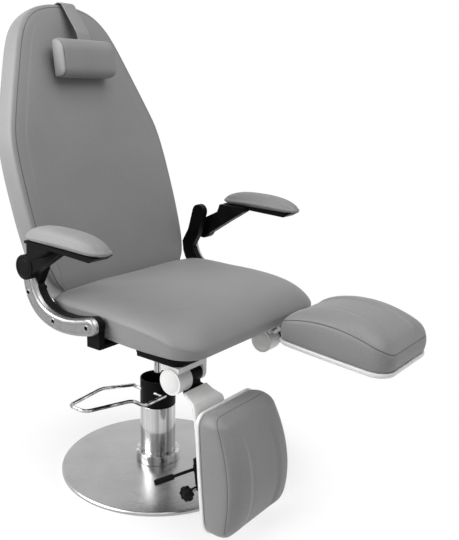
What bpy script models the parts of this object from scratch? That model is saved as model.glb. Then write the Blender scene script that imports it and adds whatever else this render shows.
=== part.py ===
"""Pedicure chair: round foot, pump column, swivelling seat, reclining backrest and two leg rests.

Metres, +Z up. The origin is the centre of the foot on the floor and the sitter faces -Y.
"""
import math

import bmesh
import bpy
from mathutils import Matrix, Vector

# Clearances
GAP = 0.0003
SLIDE_GAP = 0.0005
RUN_GAP = 0.003

# Foot and column
BASE_R = 0.290
BASE_RIM_H = 0.010
BASE_HUB_H = 0.022
COVER_T = 0.002
PLATE_INSET = 0.028
PLATE_R = BASE_R - PLATE_INSET
PLATE_T = 0.007
COLLAR_R = 0.066
COLLAR_H = 0.028
COLUMN_R = 0.053
COLUMN_WALL = 0.004
TUBE_TOP = 0.199
SLEEVE_H = 0.082
PUMP_R = 0.034
PUMP_H = 0.180
ROD_R = 0.0118
ROD_INSERT = 0.165

# Pedal
PEDAL_BAR_R = 0.0055
PEDAL_AXLE_R = 0.005
PEDAL_AXLE_X = -0.042
PEDAL_AXLE_Z = 0.249
PEDAL_REACH = 0.276
PEDAL_RISE = 0.041
PEDAL_STUB = 0.006
PEDAL_BEND = 0.018
PEDAL_TIP_HALF = 0.030
PEDAL_LEG_Y = 0.062
PEDAL_BEND_X = -0.127
PEDAL_SHOULDER_X = -0.172
PEDAL_SHOULDER_RISE = 0.032

# Seat
SEAT_BOARD_Z = 0.489
SEAT_BOARD_T = 0.010
SEAT_FRONT_Y = -0.385
SEAT_REAR_Y = 0.113
SEAT_FRONT_HALF = 0.288
SEAT_REAR_HALF = 0.298
SEAT_FRONT_CORNER = 0.120
SEAT_REAR_CORNER = 0.030
SEAT_EDGE_H = 0.074
SEAT_CROWN = 0.017
SEAT_NOSE = 0.040
BOARD_INSET = 0.024
BOARD_FRONT = 0.075
FRAME_T = 0.0187
FRAME_HALF_X = 0.225
FRAME_FRONT_Y = -0.155
FRAME_REAR_Y = 0.130
HUB_PLATE_R = 0.080
HUB_PLATE_T = 0.008
BEARING_R = 0.055
BEARING_H = 0.018

# Backrest
BACK_PIVOT_Y = 0.140
BACK_PIVOT_Z = 0.530
BACK_FACE_Y = 0.126
BACK_FACE_Z = 0.599
BACK_TILT = math.radians(18.5)
BACK_DEPTH = 0.070
BACK_CROWN = 0.010
BACK_BOARD_T = 0.010
BACK_BOARD_INSET = 0.020
LUG_T = 0.008
LUG_R = 0.018
LUG_INSET = 0.025
LUG_X = FRAME_HALF_X - LUG_INSET
HINGE_PIN_R = 0.006
HINGE_ARM_HALF = 0.013
HINGE_ARM_REACH = 0.200

# Head pillow and strap
PILLOW_HALF = 0.098
PILLOW_X = 0.003
PILLOW_S = 0.630
PILLOW_HEIGHT = 0.090
PILLOW_DEPTH = 0.068
STRAP_X = 0.016
STRAP_WIDTH = 0.036
STRAP_T = 0.003
STRAP_FRONT_S = PILLOW_S - 0.3 * PILLOW_HEIGHT
STRAP_BACK_S = 0.58

# Armrests
BRACKET_CLEAR = 0.010
BRACKET_X = max(SEAT_FRONT_HALF, SEAT_REAR_HALF) + BRACKET_CLEAR
BRACKET_T = 0.022
BRACKET_HALF = 0.0225
COVER_PLATE_T = 0.016
COVER_PLATE_HALF = 0.023
FLANGE_T = 0.010
ARM_STAND = 0.055
ARM_X = BRACKET_X + ARM_STAND
ARM_T = 0.032
ARM_PIVOT_Y = 0.118
ARM_PIVOT_Z = 0.667
ARM_HUB_R = 0.030
ARM_HUB_STAND = 0.001
ARM_BOLT_R = 0.007
ARM_BASE_HALF = 0.028
ARM_PAD_SHIFT = 0.038
ARM_PAD_X = ARM_X + ARM_PAD_SHIFT
ARM_PAD_HALF = 0.038
ARM_PAD_FRONT = -0.213
ARM_PAD_REAR = 0.059
ARM_PAD_EDGE = 0.022
ARM_PAD_CROWN = 0.023
ARM_PAD_END = 0.105

# Leg rests, in the frame of the tilt hinge: out = away from the hinge, up = towards the pad's face
LEG_X = 0.197
LEG_HINGE_Y = -0.270
LEG_HINGE_Z = 0.419
LEG_LOW = math.radians(82.9)
LEG_HIGH = math.radians(3.8)
LEG_PUSH_OUT = 0.050
PAD_OFFSET = 0.062
PAD_START = 0.073
PAD_LENGTH = 0.312
PAD_HALF = 0.130
PAD_EDGE_H = 0.050
PAD_CROWN = 0.012
PAD_ARCH = 0.034
PAD_CORNER = 0.050
PAD_UP = 0.080
SHELL_T = 0.014
SHELL_LIP = 0.003
YOKE_HALF = 0.057
YOKE_DRUM = 0.048
YOKE_EAR = 0.014
YOKE_R = 0.033
YOKE_BAR_LOW = 0.0255
YOKE_BAR_T = 0.0135
YOKE_BAR_BACK = 0.034
YOKE_BAR_FRONT = 0.024
LEG_PIN_R = 0.007
HUB_R = 0.023
NECK_T = 0.009
TONGUE_END = 0.195
RAIL_HALF = 0.018
RAIL_DEPTH = 0.026
RAIL_START = 0.070
RAIL_END = 0.320
GUIDE_START = 0.205
GUIDE_LENGTH = 0.085
GUIDE_WALL = 0.006
BLOCK_HALF = 0.055
BLOCK_FRONT = 0.019
SPREAD_PIN_R = 0.009
KNOB_OUT = 0.272
KNOB_R = 0.018
KNOB_T = 0.016
KNOB_LOBES = 8
KNOB_STAND = 0.042
STEM_R = 0.005
LEVER_OUT = 0.225
LEVER_R = 0.004
LEVER_LENGTH = 0.105
LEVER_DROOP = math.radians(38)
GRIP_R = 0.0075
GRIP_LENGTH = 0.050

# Places that follow from the sizes above
SEAT_FRAME_TOP = SEAT_BOARD_Z - GAP
SEAT_FRAME_LOW = SEAT_FRAME_TOP - FRAME_T
HUB_PLATE_TOP = SEAT_FRAME_LOW - GAP
HUB_PLATE_LOW = HUB_PLATE_TOP - HUB_PLATE_T
BEARING_TOP = HUB_PLATE_LOW - GAP
ROD_TOP = BEARING_TOP - BEARING_H - GAP
SLEEVE_LOW = TUBE_TOP + GAP
CUSHION_LOW = SEAT_BOARD_Z + SEAT_BOARD_T + GAP
PUMP_LOW = PLATE_T + GAP
PUMP_TOP = PUMP_LOW + PUMP_H
SHELL_LOW = PAD_UP - SHELL_T
NECK_TOP = SHELL_LOW - SLIDE_GAP
RAIL_TOP = NECK_TOP - NECK_T - GAP
RAIL_LOW = RAIL_TOP - RAIL_DEPTH
BLOCK_LOW = LEG_HINGE_Z + YOKE_BAR_LOW + YOKE_BAR_T + GAP

# Step counts
ROUND_STEPS = 48
SMALL_STEPS = 20


def clear_scene():
    """Remove whatever the file holds."""
    for obj in list(bpy.data.objects):
        bpy.data.objects.remove(obj, do_unlink=True)


def make_collection(name):
    """A collection linked to the scene."""
    collection = bpy.data.collections.new(name)
    bpy.context.scene.collection.children.link(collection)
    return collection


clear_scene()
PARTS = make_collection("pedicure_chair")
CUTTERS = make_collection("cutters")


def material(name, colour, roughness, metallic=0.0):
    """A Principled material in one colour."""
    made = bpy.data.materials.new(name)
    made.use_nodes = True
    shader = made.node_tree.nodes["Principled BSDF"]
    shader.inputs["Base Color"].default_value = (*colour, 1.0)
    shader.inputs["Roughness"].default_value = roughness
    shader.inputs["Metallic"].default_value = metallic
    return made


LEATHER = material("grey_leatherette", (0.27, 0.27, 0.27), 0.5)
BLACK_PLASTIC = material("black_plastic", (0.02, 0.02, 0.02), 0.45)
BLACK_STEEL = material("black_steel", (0.02, 0.02, 0.02), 0.4)
CHROME = material("chrome", (0.8, 0.8, 0.8), 0.08, 1.0)
BRUSHED = material("brushed_steel", (0.62, 0.62, 0.62), 0.3, 1.0)
ALUMINIUM = material("cast_aluminium", (0.7, 0.7, 0.7), 0.35, 1.0)
WHITE = material("white_enamel", (0.75, 0.75, 0.74), 0.35)
IRON = material("cast_iron", (0.06, 0.06, 0.06), 0.7)
BOARD = material("board", (0.03, 0.03, 0.03), 0.7)
WEBBING = material("strap_webbing", (0.22, 0.22, 0.22), 0.7)


def empty(name, place, turn=(0.0, 0.0, 0.0), parent=None):
    """An empty that stands on a joint's axis."""
    made = bpy.data.objects.new(name, None)
    made.location = place
    made.rotation_euler = turn
    made.parent = parent
    PARTS.objects.link(made)
    return made


def add_object(name, mesh, surface, parent=None, smooth=None):
    """Put a mesh into the part's collection under a name."""
    if surface is not None:
        mesh.materials.clear()
        mesh.materials.append(surface)
    if smooth is not None:
        mesh.shade_smooth()
        mesh.set_sharp_from_angle(angle=math.radians(smooth))
    made = bpy.data.objects.new(name, mesh)
    made.parent = parent
    PARTS.objects.link(made)
    return made


def face_outwards(bm):
    """Make every face of a closed body point out."""
    bmesh.ops.recalc_face_normals(bm, faces=bm.faces[:])
    if bm.calc_volume(signed=True) < 0:
        bmesh.ops.reverse_faces(bm, faces=bm.faces[:])


def mesh_from(bm, name):
    """Turn a bmesh into mesh data with its faces pointing out."""
    face_outwards(bm)
    mesh = bpy.data.meshes.new(name)
    bm.to_mesh(mesh)
    bm.free()
    return mesh


def evaluated_mesh(obj):
    """The mesh of an object as its modifiers leave it, with loose caps welded."""
    bpy.context.view_layer.update()
    graph = bpy.context.evaluated_depsgraph_get()
    mesh = bpy.data.meshes.new_from_object(obj.evaluated_get(graph))
    mesh.transform(obj.matrix_world)
    bm = bmesh.new()
    bm.from_mesh(mesh)
    bmesh.ops.remove_doubles(bm, verts=bm.verts[:], dist=0.00001)
    face_outwards(bm)
    bm.to_mesh(mesh)
    bm.free()
    return mesh


def turned(name, profile, surface, parent=None, steps=ROUND_STEPS):
    """Turn a closed profile of (radius, z) points, listed down its outer side, about the Z axis."""
    mesh = bpy.data.meshes.new(name)
    edges = [(i, (i + 1) % len(profile)) for i in range(len(profile))]
    if profile[0][0] == 0.0 and profile[-1][0] == 0.0:
        edges.pop()
    mesh.from_pydata([(radius, 0.0, z) for radius, z in profile], edges, [])
    made = add_object(name, mesh, surface, parent)
    screw = made.modifiers.new("turn", "SCREW")
    screw.steps = steps
    screw.render_steps = steps
    screw.use_merge_vertices = True
    screw.merge_threshold = 0.00001
    return made


def cylinder_mesh(name, radius, start, end, steps=SMALL_STEPS):
    """A capped cylinder between two points."""
    start = Vector(start)
    end = Vector(end)
    axis = end - start
    bm = bmesh.new()
    bmesh.ops.create_cone(bm, cap_ends=True, segments=steps, radius1=radius, radius2=radius,
                          depth=axis.length)
    turn = axis.to_track_quat("Z", "Y").to_matrix().to_4x4()
    bm.transform(Matrix.Translation((start + end) / 2) @ turn)
    return mesh_from(bm, name)


def cylinder(name, radius, start, end, surface, parent=None, steps=SMALL_STEPS):
    """A round bar between two points."""
    return add_object(name, cylinder_mesh(name, radius, start, end, steps), surface, parent, 40)


def box_mesh(name, low, high):
    """A block between two corners."""
    low = Vector(low)
    high = Vector(high)
    bm = bmesh.new()
    bmesh.ops.create_cube(bm, size=1.0)
    bm.transform(Matrix.Translation((low + high) / 2) @ Matrix.Diagonal((*(high - low), 1.0)))
    return mesh_from(bm, name)


def box(name, low, high, surface, parent=None):
    """A block with sharp edges."""
    return add_object(name, box_mesh(name, low, high), surface, parent)


def rounded(points, radius, steps=4):
    """The outline through points with each corner rounded; radius is one value or one for each corner."""
    count = len(points)
    radii = radius if isinstance(radius, (list, tuple)) else [radius] * count
    outline = []
    for i, (corner, r) in enumerate(zip(points, radii)):
        here = Vector(corner)
        before = (Vector(points[i - 1]) - here).normalized()
        after = (Vector(points[(i + 1) % count]) - here).normalized()
        half_angle = before.angle(after) / 2
        if r == 0.0 or half_angle > 1.55:
            outline.append(tuple(here))
            continue
        reach = r / math.tan(half_angle)
        centre = here + (before + after).normalized() * (r / math.sin(half_angle))
        first = here + before * reach - centre
        last = here + after * reach - centre
        turn = first.angle_signed(last)
        for k in range(steps + 1):
            arm = first.copy()
            arm.rotate(Matrix.Rotation(-turn * k / steps, 2))
            outline.append(tuple(centre + arm))
    return outline


def bezier(p0, p1, p2, p3, count):
    """Points along a cubic curve."""
    points = []
    for k in range(count + 1):
        t = k / count
        u = 1.0 - t
        points.append(tuple(
            u**3 * a + 3 * u * u * t * b + 3 * u * t * t * c + t**3 * d
            for a, b, c, d in zip(p0, p1, p2, p3)))
    return points


def ribbon(path, half, round_start=0, round_end=0):
    """The outline of a band of one width along a path, with the ends round where steps are given."""
    points = [Vector(p) for p in path]
    left, right = [], []
    for i, point in enumerate(points):
        ahead = points[min(i + 1, len(points) - 1)]
        behind = points[max(i - 1, 0)]
        along = (ahead - behind).normalized()
        side = Vector((-along.y, along.x)) * half
        left.append(point + side)
        right.append(point - side)

    def half_turn(centre, start, steps):
        arms = []
        for k in range(1, steps):
            arm = start - centre
            arm.rotate(Matrix.Rotation(math.pi * k / steps, 2))
            arms.append(centre + arm)
        return arms

    end_cap = half_turn(points[-1], right[-1], round_end) if round_end else []
    start_cap = half_turn(points[0], left[0], round_start) if round_start else []
    return [tuple(p) for p in right + end_cap + left[::-1] + start_cap]


# Local X and Y of an outline become Y and Z, and its thickness runs along X
SIDE_VIEW = Matrix(((0, 0, 1, 0), (1, 0, 0, 0), (0, 1, 0, 0), (0, 0, 0, 1)))


def prism_mesh(name, outline, low, high, view=Matrix.Identity(4)):
    """A flat outline filled between two levels of its own Z."""
    curve = bpy.data.curves.new(name, "CURVE")
    curve.dimensions = "2D"
    curve.fill_mode = "BOTH"
    curve.extrude = (high - low) / 2
    spline = curve.splines.new("POLY")
    spline.points.add(len(outline) - 1)
    for point, (a, b) in zip(spline.points, outline):
        point.co = (a, b, 0.0, 1.0)
    spline.use_cyclic_u = True
    drawn = bpy.data.objects.new(name, curve)
    PARTS.objects.link(drawn)
    mesh = evaluated_mesh(drawn)
    bpy.data.objects.remove(drawn, do_unlink=True)
    bpy.data.curves.remove(curve)
    mesh.transform(view @ Matrix.Translation((0.0, 0.0, (low + high) / 2)))
    mesh.name = name
    return mesh


def prism(name, outline, low, high, surface, parent=None, view=Matrix.Identity(4), edge=0.0):
    """A flat piece cut to an outline, with its edges rounded where a width is given."""
    made = add_object(name, prism_mesh(name, outline, low, high, view), surface, parent, 35)
    if edge:
        round_edges(made, edge)
    return made


def round_edges(obj, width, segments=2, angle=50):
    """Round the sharp edges of a piece."""
    bevel = obj.modifiers.new("edges", "BEVEL")
    bevel.width = width
    bevel.segments = segments
    bevel.limit_method = "ANGLE"
    bevel.angle_limit = math.radians(angle)


def combine(obj, operation, mesh):
    """Join a mesh to a piece or cut it away; the tool stays as a hidden guide."""
    tool = bpy.data.objects.new(f"{obj.name}_{operation.lower()}_{len(obj.modifiers)}", mesh)
    tool.parent = obj.parent
    tool.hide_render = True
    tool.display_type = "WIRE"
    CUTTERS.objects.link(tool)
    boolean = obj.modifiers.new(operation.lower(), "BOOLEAN")
    boolean.operation = operation
    boolean.object = tool
    boolean.solver = "EXACT"


def loft(name, rings, surface, parent=None, smooth=50):
    """A closed skin over rings of equal point counts, with flat ends."""
    bm = bmesh.new()
    loops = [[bm.verts.new(point) for point in ring] for ring in rings]
    count = len(rings[0])
    for here, there in zip(loops, loops[1:]):
        for k in range(count):
            bm.faces.new((here[k], here[(k + 1) % count], there[(k + 1) % count], there[k]))
    bm.faces.new(loops[0])
    bm.faces.new(loops[-1][::-1])
    return add_object(name, mesh_from(bm, name), surface, parent, smooth)


def swept_bar(name, path, radius, surface, parent=None, resolution=2):
    """A round bar along points, with flat caps."""
    curve = bpy.data.curves.new(name, "CURVE")
    curve.dimensions = "3D"
    curve.bevel_depth = radius
    curve.bevel_resolution = resolution
    curve.use_fill_caps = True
    spline = curve.splines.new("POLY")
    spline.points.add(len(path) - 1)
    for point, place in zip(spline.points, path):
        point.co = (*place, 1.0)
    drawn = bpy.data.objects.new(name, curve)
    PARTS.objects.link(drawn)
    mesh = evaluated_mesh(drawn)
    bpy.data.objects.remove(drawn, do_unlink=True)
    mesh.name = name
    return add_object(name, mesh, surface, parent, 50)


def soft_path(points, reach, steps=4):
    """A path through points with each inner corner drawn as a small curve."""
    places = [Vector(p) for p in points]
    path = [tuple(places[0])]
    for before, here, after in zip(places, places[1:], places[2:]):
        start = here + (before - here).normalized() * reach
        end = here + (after - here).normalized() * reach
        for k in range(steps + 1):
            t = k / steps
            path.append(tuple(start * (1 - t)**2 + here * (2 * t * (1 - t)) + end * t * t))
    path.append(tuple(places[-1]))
    return path


def span(side, near, far):
    """The two ends of a stretch of X on one side of the chair, low end first."""
    return (near, far) if side > 0 else (-far, -near)


def stations(length, start, end, middle=5, steps=4):
    """Distances along a cushion, close together over its rounded ends."""
    quarter = [1.0 - math.cos(math.pi / 2 * k / steps) for k in range(steps + 1)]
    inner = [start + (length - start - end) * k / middle for k in range(1, middle)]
    return [start * q for q in quarter] + inner + [length - end * q for q in reversed(quarter)]


def end_round(distance, reach):
    """1 at an end, 0 from reach inwards, falling as a quarter round does."""
    if distance >= reach:
        return 0.0
    return 1.0 - math.sqrt(1.0 - (1.0 - distance / reach)**2)


def cushion_ring(half, low, edge, crown, inset, top_points=9):
    """Section of a cushion as (across, height): flat base, sides drawn in at the seams, crowned top."""
    height = edge - low
    seam = half - inset
    side = [(half - 0.2 * inset, low + 0.22 * height), (half, low + 0.55 * height),
            (half - 0.3 * inset, low + 0.86 * height)]
    ring = [(-seam, low), (0.0, low), (seam, low)] + side
    for k in range(top_points):
        t = math.cos(math.pi * k / (top_points - 1))
        ring.append((t * seam, edge + crown(t)))
    return ring + [(-across, height_there) for across, height_there in reversed(side)]


# Foot and column

COVER_HOLE_R = COLUMN_R + GAP
RIM_ROUND = 0.004
COLLAR_LIP = 0.006

turned("base_plate", [(0, PLATE_T), (PLATE_R - RIM_ROUND, PLATE_T), (PLATE_R, PLATE_T - RIM_ROUND),
                      (PLATE_R, 0), (0, 0)], IRON)
turned("base_cover", [(COVER_HOLE_R, BASE_HUB_H), (COLLAR_R + COLLAR_LIP, BASE_HUB_H),
                      (BASE_R - RIM_ROUND, BASE_RIM_H), (BASE_R, BASE_RIM_H - RIM_ROUND), (BASE_R, GAP),
                      (BASE_R - COVER_T, GAP), (BASE_R - COVER_T, BASE_RIM_H - RIM_ROUND - GAP),
                      (BASE_R - RIM_ROUND - COVER_T / 2, BASE_RIM_H - COVER_T),
                      (COLLAR_R + COLLAR_LIP, BASE_HUB_H - COVER_T), (COVER_HOLE_R, BASE_HUB_H - COVER_T)],
       BRUSHED)
collar_low = BASE_HUB_H + GAP
collar_top = collar_low + COLLAR_H
turned("column_collar", [(COVER_HOLE_R, collar_top), (COLLAR_R - COLLAR_LIP / 3, collar_top),
                         (COLLAR_R, collar_top - COLLAR_LIP / 3), (COLLAR_R, collar_low),
                         (COVER_HOLE_R, collar_low)], CHROME)
turned("column_tube", [(COLUMN_R, TUBE_TOP), (COLUMN_R, PLATE_T + GAP),
                       (COLUMN_R - COLUMN_WALL, PLATE_T + GAP), (COLUMN_R - COLUMN_WALL, TUBE_TOP)], CHROME)
sleeve_top = SLEEVE_LOW + SLEEVE_H
sleeve = turned("column_sleeve", [(COLUMN_R, sleeve_top), (COLUMN_R, SLEEVE_LOW),
                                  (COLUMN_R - COLUMN_WALL, SLEEVE_LOW),
                                  (COLUMN_R - COLUMN_WALL, sleeve_top)], BLACK_PLASTIC)
combine(sleeve, "DIFFERENCE", cylinder_mesh("axle_holes", PEDAL_AXLE_R + GAP,
                                            (PEDAL_AXLE_X, -COLUMN_R, PEDAL_AXLE_Z),
                                            (PEDAL_AXLE_X, COLUMN_R, PEDAL_AXLE_Z)))
rod_low = PUMP_TOP - ROD_INSERT
bore_r = ROD_R + SLIDE_GAP
bore_floor = rod_low - RUN_GAP
turned("pump_cylinder", [(0, bore_floor), (bore_r, bore_floor), (bore_r, PUMP_TOP), (PUMP_R, PUMP_TOP),
                         (PUMP_R, PUMP_LOW), (0, PUMP_LOW)], BLACK_STEEL)

# Pedal

pedal_hinge = empty("pedal_hinge", (PEDAL_AXLE_X, 0, PEDAL_AXLE_Z))
axle_half = PEDAL_LEG_Y - PEDAL_BAR_R - GAP
cylinder("pedal_axle", PEDAL_AXLE_R, (0, -axle_half, 0), (0, axle_half, 0), CHROME, pedal_hinge)
pedal_near = [(PEDAL_STUB, -PEDAL_LEG_Y, 0), (PEDAL_BEND_X - PEDAL_AXLE_X, -PEDAL_LEG_Y, 0),
              (PEDAL_SHOULDER_X - PEDAL_AXLE_X, -PEDAL_LEG_Y, PEDAL_SHOULDER_RISE),
              (-PEDAL_REACH, -PEDAL_TIP_HALF, PEDAL_RISE)]
pedal_far = [(x, -y, z) for x, y, z in reversed(pedal_near)]
pedal_points = pedal_near + pedal_far[:2] + pedal_far[3:]
swept_bar("pedal_bar", soft_path(pedal_points, PEDAL_BEND), PEDAL_BAR_R, CHROME, pedal_hinge)

# Lift and swivel

lift = empty("lift", (0, 0, 0))
turned("lift_rod", [(0, ROD_TOP), (ROD_R, ROD_TOP), (ROD_R, rod_low), (0, rod_low)], CHROME, lift, 24)
bearing_low = BEARING_TOP - BEARING_H
turned("swivel_bearing", [(0, BEARING_TOP), (BEARING_R, BEARING_TOP),
                          (BEARING_R, BEARING_TOP - BEARING_H / 3), (ROD_R * 2.4, BEARING_TOP - BEARING_H / 2),
                          (ROD_R * 2, bearing_low),
                          (0, bearing_low)], BLACK_STEEL, lift, 32)

# Seat

seat = empty("seat_swivel", (0, 0, 0), parent=lift)
turned("seat_hub_plate", [(0, HUB_PLATE_TOP), (HUB_PLATE_R, HUB_PLATE_TOP), (HUB_PLATE_R, HUB_PLATE_LOW),
                          (0, HUB_PLATE_LOW)], BLACK_STEEL, seat, 32)


def rectangle(x0, x1, y0, y1):
    """Corners of a rectangle, anticlockwise."""
    return [(x0, y0), (x1, y0), (x1, y1), (x0, y1)]


FRAME_CORNER = 0.012
LUG_LEAN = 0.006
frame_edge = rectangle(-FRAME_HALF_X, FRAME_HALF_X, FRAME_FRONT_Y, FRAME_REAR_Y)
frame = prism("seat_frame", rounded(frame_edge, FRAME_CORNER), SEAT_FRAME_LOW, SEAT_FRAME_TOP, BLACK_STEEL,
              seat)
lug_path = [(BACK_PIVOT_Y - LUG_LEAN, SEAT_FRAME_LOW + FRAME_T / 2), (BACK_PIVOT_Y, BACK_PIVOT_Z)]
for side in (-1, 1):
    near, far = span(side, LUG_X - LUG_T / 2, LUG_X + LUG_T / 2)
    combine(frame, "UNION", prism_mesh("lug", ribbon(lug_path, LUG_R, round_end=10), near, far, SIDE_VIEW))
lug_line = [(x, BACK_PIVOT_Y, BACK_PIVOT_Z) for x in (-LUG_X - LUG_T, LUG_X + LUG_T)]
combine(frame, "DIFFERENCE", cylinder_mesh("lug_bores", HINGE_PIN_R + GAP, *lug_line))

seat_length = SEAT_REAR_Y - SEAT_FRONT_Y


def seat_half(distance):
    """Half-width of the seat at a distance from its front."""
    straight = SEAT_FRONT_HALF + (SEAT_REAR_HALF - SEAT_FRONT_HALF) * distance / seat_length
    front = SEAT_FRONT_CORNER * end_round(distance, SEAT_FRONT_CORNER)
    rear = SEAT_REAR_CORNER * end_round(seat_length - distance, SEAT_REAR_CORNER)
    return straight - front - rear


def seat_ring(distance):
    """Section of the seat cushion across the chair."""
    nose = end_round(distance, SEAT_NOSE)
    heel = end_round(seat_length - distance, SEAT_REAR_CORNER)
    low = CUSHION_LOW + 0.36 * SEAT_EDGE_H * nose
    edge = CUSHION_LOW + SEAT_EDGE_H * (1 - 0.26 * nose - 0.12 * heel)
    ring = cushion_ring(seat_half(distance), low, edge,
                        lambda t: SEAT_CROWN * (1 - nose) * (1 - abs(t)**2.5), 0.012, 11)
    return [(x, SEAT_FRONT_Y + distance, z) for x, z in ring]


seat_steps = stations(seat_length, SEAT_FRONT_CORNER, SEAT_REAR_CORNER)
loft("seat_cushion", [seat_ring(d) for d in seat_steps], LEATHER, seat)
board_steps = [d for d in stations(seat_length, SEAT_FRONT_CORNER, SEAT_REAR_CORNER)
               if BOARD_FRONT <= d < seat_length - SEAT_REAR_CORNER / 4]
board_right = [(seat_half(d) - BOARD_INSET, SEAT_FRONT_Y + d) for d in board_steps]
board_left = [(-x, y) for x, y in reversed(board_right)]
prism("seat_board", board_right + board_left, SEAT_BOARD_Z, SEAT_BOARD_Z + SEAT_BOARD_T, BOARD, seat)

# Backrest, drawn as (across, up the back, out of the face)

back = empty("backrest_hinge", (0, BACK_PIVOT_Y, BACK_PIVOT_Z), (-BACK_TILT, 0, 0), seat)
to_face = Vector((BACK_FACE_Y - BACK_PIVOT_Y, BACK_FACE_Z - BACK_PIVOT_Z))
FACE_Y = to_face.x * math.cos(BACK_TILT) - to_face.y * math.sin(BACK_TILT)
FACE_Z = to_face.x * math.sin(BACK_TILT) + to_face.y * math.cos(BACK_TILT)
BACK_VIEW = Matrix(((1, 0, 0, 0), (0, 0, -1, FACE_Y), (0, 1, 0, FACE_Z), (0, 0, 0, 1)))
BACK_OUTLINE = [(-0.030, 0.228), (-0.020, 0.252), (0.006, 0.271), (0.055, 0.281), (0.13, 0.286),
                (0.21, 0.291), (0.33, 0.293), (0.42, 0.286), (0.50, 0.259), (0.60, 0.221), (0.69, 0.184),
                (0.745, 0.150), (0.782, 0.105), (0.800, 0.050)]
BACK_END_ROUND = 0.030
back_foot = BACK_OUTLINE[0][0]
back_top = BACK_OUTLINE[-1][0]


def back_ring(s, half):
    """Section of the backrest cushion across the chair."""
    turn = end_round(min(s - back_foot, back_top - s), BACK_END_ROUND)
    low = -BACK_DEPTH * (1 - 0.25 * turn)
    edge = -BACK_CROWN - 0.25 * BACK_DEPTH * turn
    ring = cushion_ring(half, low, edge, lambda t: BACK_CROWN * (1 - t**4), 0.008)
    return [BACK_VIEW @ Vector((x, s, rise)) for x, rise in ring]


loft("backrest_cushion", [back_ring(s, half) for s, half in BACK_OUTLINE], LEATHER, back)
back_board = [(half - BACK_BOARD_INSET, s) for s, half in BACK_OUTLINE[1:-1]]
board_face = -BACK_DEPTH - GAP
prism("backrest_board", back_board + [(-x, s) for x, s in reversed(back_board)],
      board_face - BACK_BOARD_T, board_face, BOARD, back, BACK_VIEW)
arm_line = FACE_Y + BACK_DEPTH + BACK_BOARD_T + 2 * GAP + HINGE_ARM_HALF
board_foot = FACE_Z + BACK_OUTLINE[1][0]
hinge_path = bezier((0, 0), (0.035, -0.004), (arm_line, -0.002), (arm_line, board_foot - RUN_GAP), 8)
hinge_path.append((arm_line, board_foot + HINGE_ARM_REACH))
for side, word in ((-1, "right"), (1, "left")):
    inner = LUG_X + LUG_T / 2 + SLIDE_GAP
    near, far = span(side, inner, inner + LUG_T)
    arm = prism(f"backrest_hinge_arm_{word}", ribbon(hinge_path, HINGE_ARM_HALF, 8, 8), near, far,
                BLACK_STEEL, back, SIDE_VIEW)
    combine(arm, "DIFFERENCE",
            cylinder_mesh("pin_bore", HINGE_PIN_R + GAP, (near - LUG_T, 0, 0), (far + LUG_T, 0, 0)))
    near, far = span(side, LUG_X - LUG_T, inner + 1.5 * LUG_T)
    cylinder(f"backrest_hinge_pin_{word}", HINGE_PIN_R, (near, BACK_PIVOT_Y, BACK_PIVOT_Z),
             (far, BACK_PIVOT_Y, BACK_PIVOT_Z), BRUSHED, seat)

# Head pillow and strap

STRAP_STAND = 0.0012
STRAP_BEND = 0.024
strap_front = STRAP_STAND
strap_back = -BACK_DEPTH - BACK_BOARD_T - 2 * GAP - STRAP_STAND - STRAP_T
strap_top = back_top + STRAP_STAND + STRAP_T
strap_route = [(strap_front + STRAP_T / 2, STRAP_FRONT_S),
               (strap_front + STRAP_T / 2, strap_top - STRAP_T / 2),
               (strap_back + STRAP_T / 2, strap_top - STRAP_T / 2), (strap_back + STRAP_T / 2, STRAP_BACK_S)]
strap_path = soft_path([(rise, s, 0) for rise, s in strap_route], STRAP_BEND, 5)
strap_outline = ribbon([(rise, s) for rise, s, _ in strap_path], STRAP_T / 2)
STRAP_VIEW = BACK_VIEW @ Matrix(((0, 0, 1, 0), (0, 1, 0, 0), (1, 0, 0, 0), (0, 0, 0, 1)))
strap_mesh = prism_mesh("head_strap", strap_outline, STRAP_X - STRAP_WIDTH / 2, STRAP_X + STRAP_WIDTH / 2)
strap_mesh.transform(STRAP_VIEW)
strap_mesh.flip_normals()
add_object("head_strap", strap_mesh, WEBBING, back, 50)

head = empty("head_slide", (0, 0, 0), parent=back)
pillow_back = STRAP_STAND + STRAP_T + GAP


def pillow_ring(distance):
    """Section of the head pillow up the back: flat behind, full and round in front."""
    turn = end_round(min(distance, 2 * PILLOW_HALF - distance), 0.014)
    size = 1 - 0.10 * turn
    half = PILLOW_HEIGHT / 2 * size
    ring = cushion_ring(half, pillow_back, pillow_back + 0.42 * PILLOW_DEPTH * size,
                        lambda t: 0.58 * PILLOW_DEPTH * size * math.sqrt(1 - min(t * t, 1.0)), 0.004, 11)
    return [BACK_VIEW @ Vector((PILLOW_X - PILLOW_HALF + distance, PILLOW_S + up, rise)) for up, rise in ring]


loft("head_pillow", [pillow_ring(d) for d in stations(2 * PILLOW_HALF, 0.014, 0.014, 6, 3)], LEATHER, head)

# Armrests, drawn in side view as (Y, Z)

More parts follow.
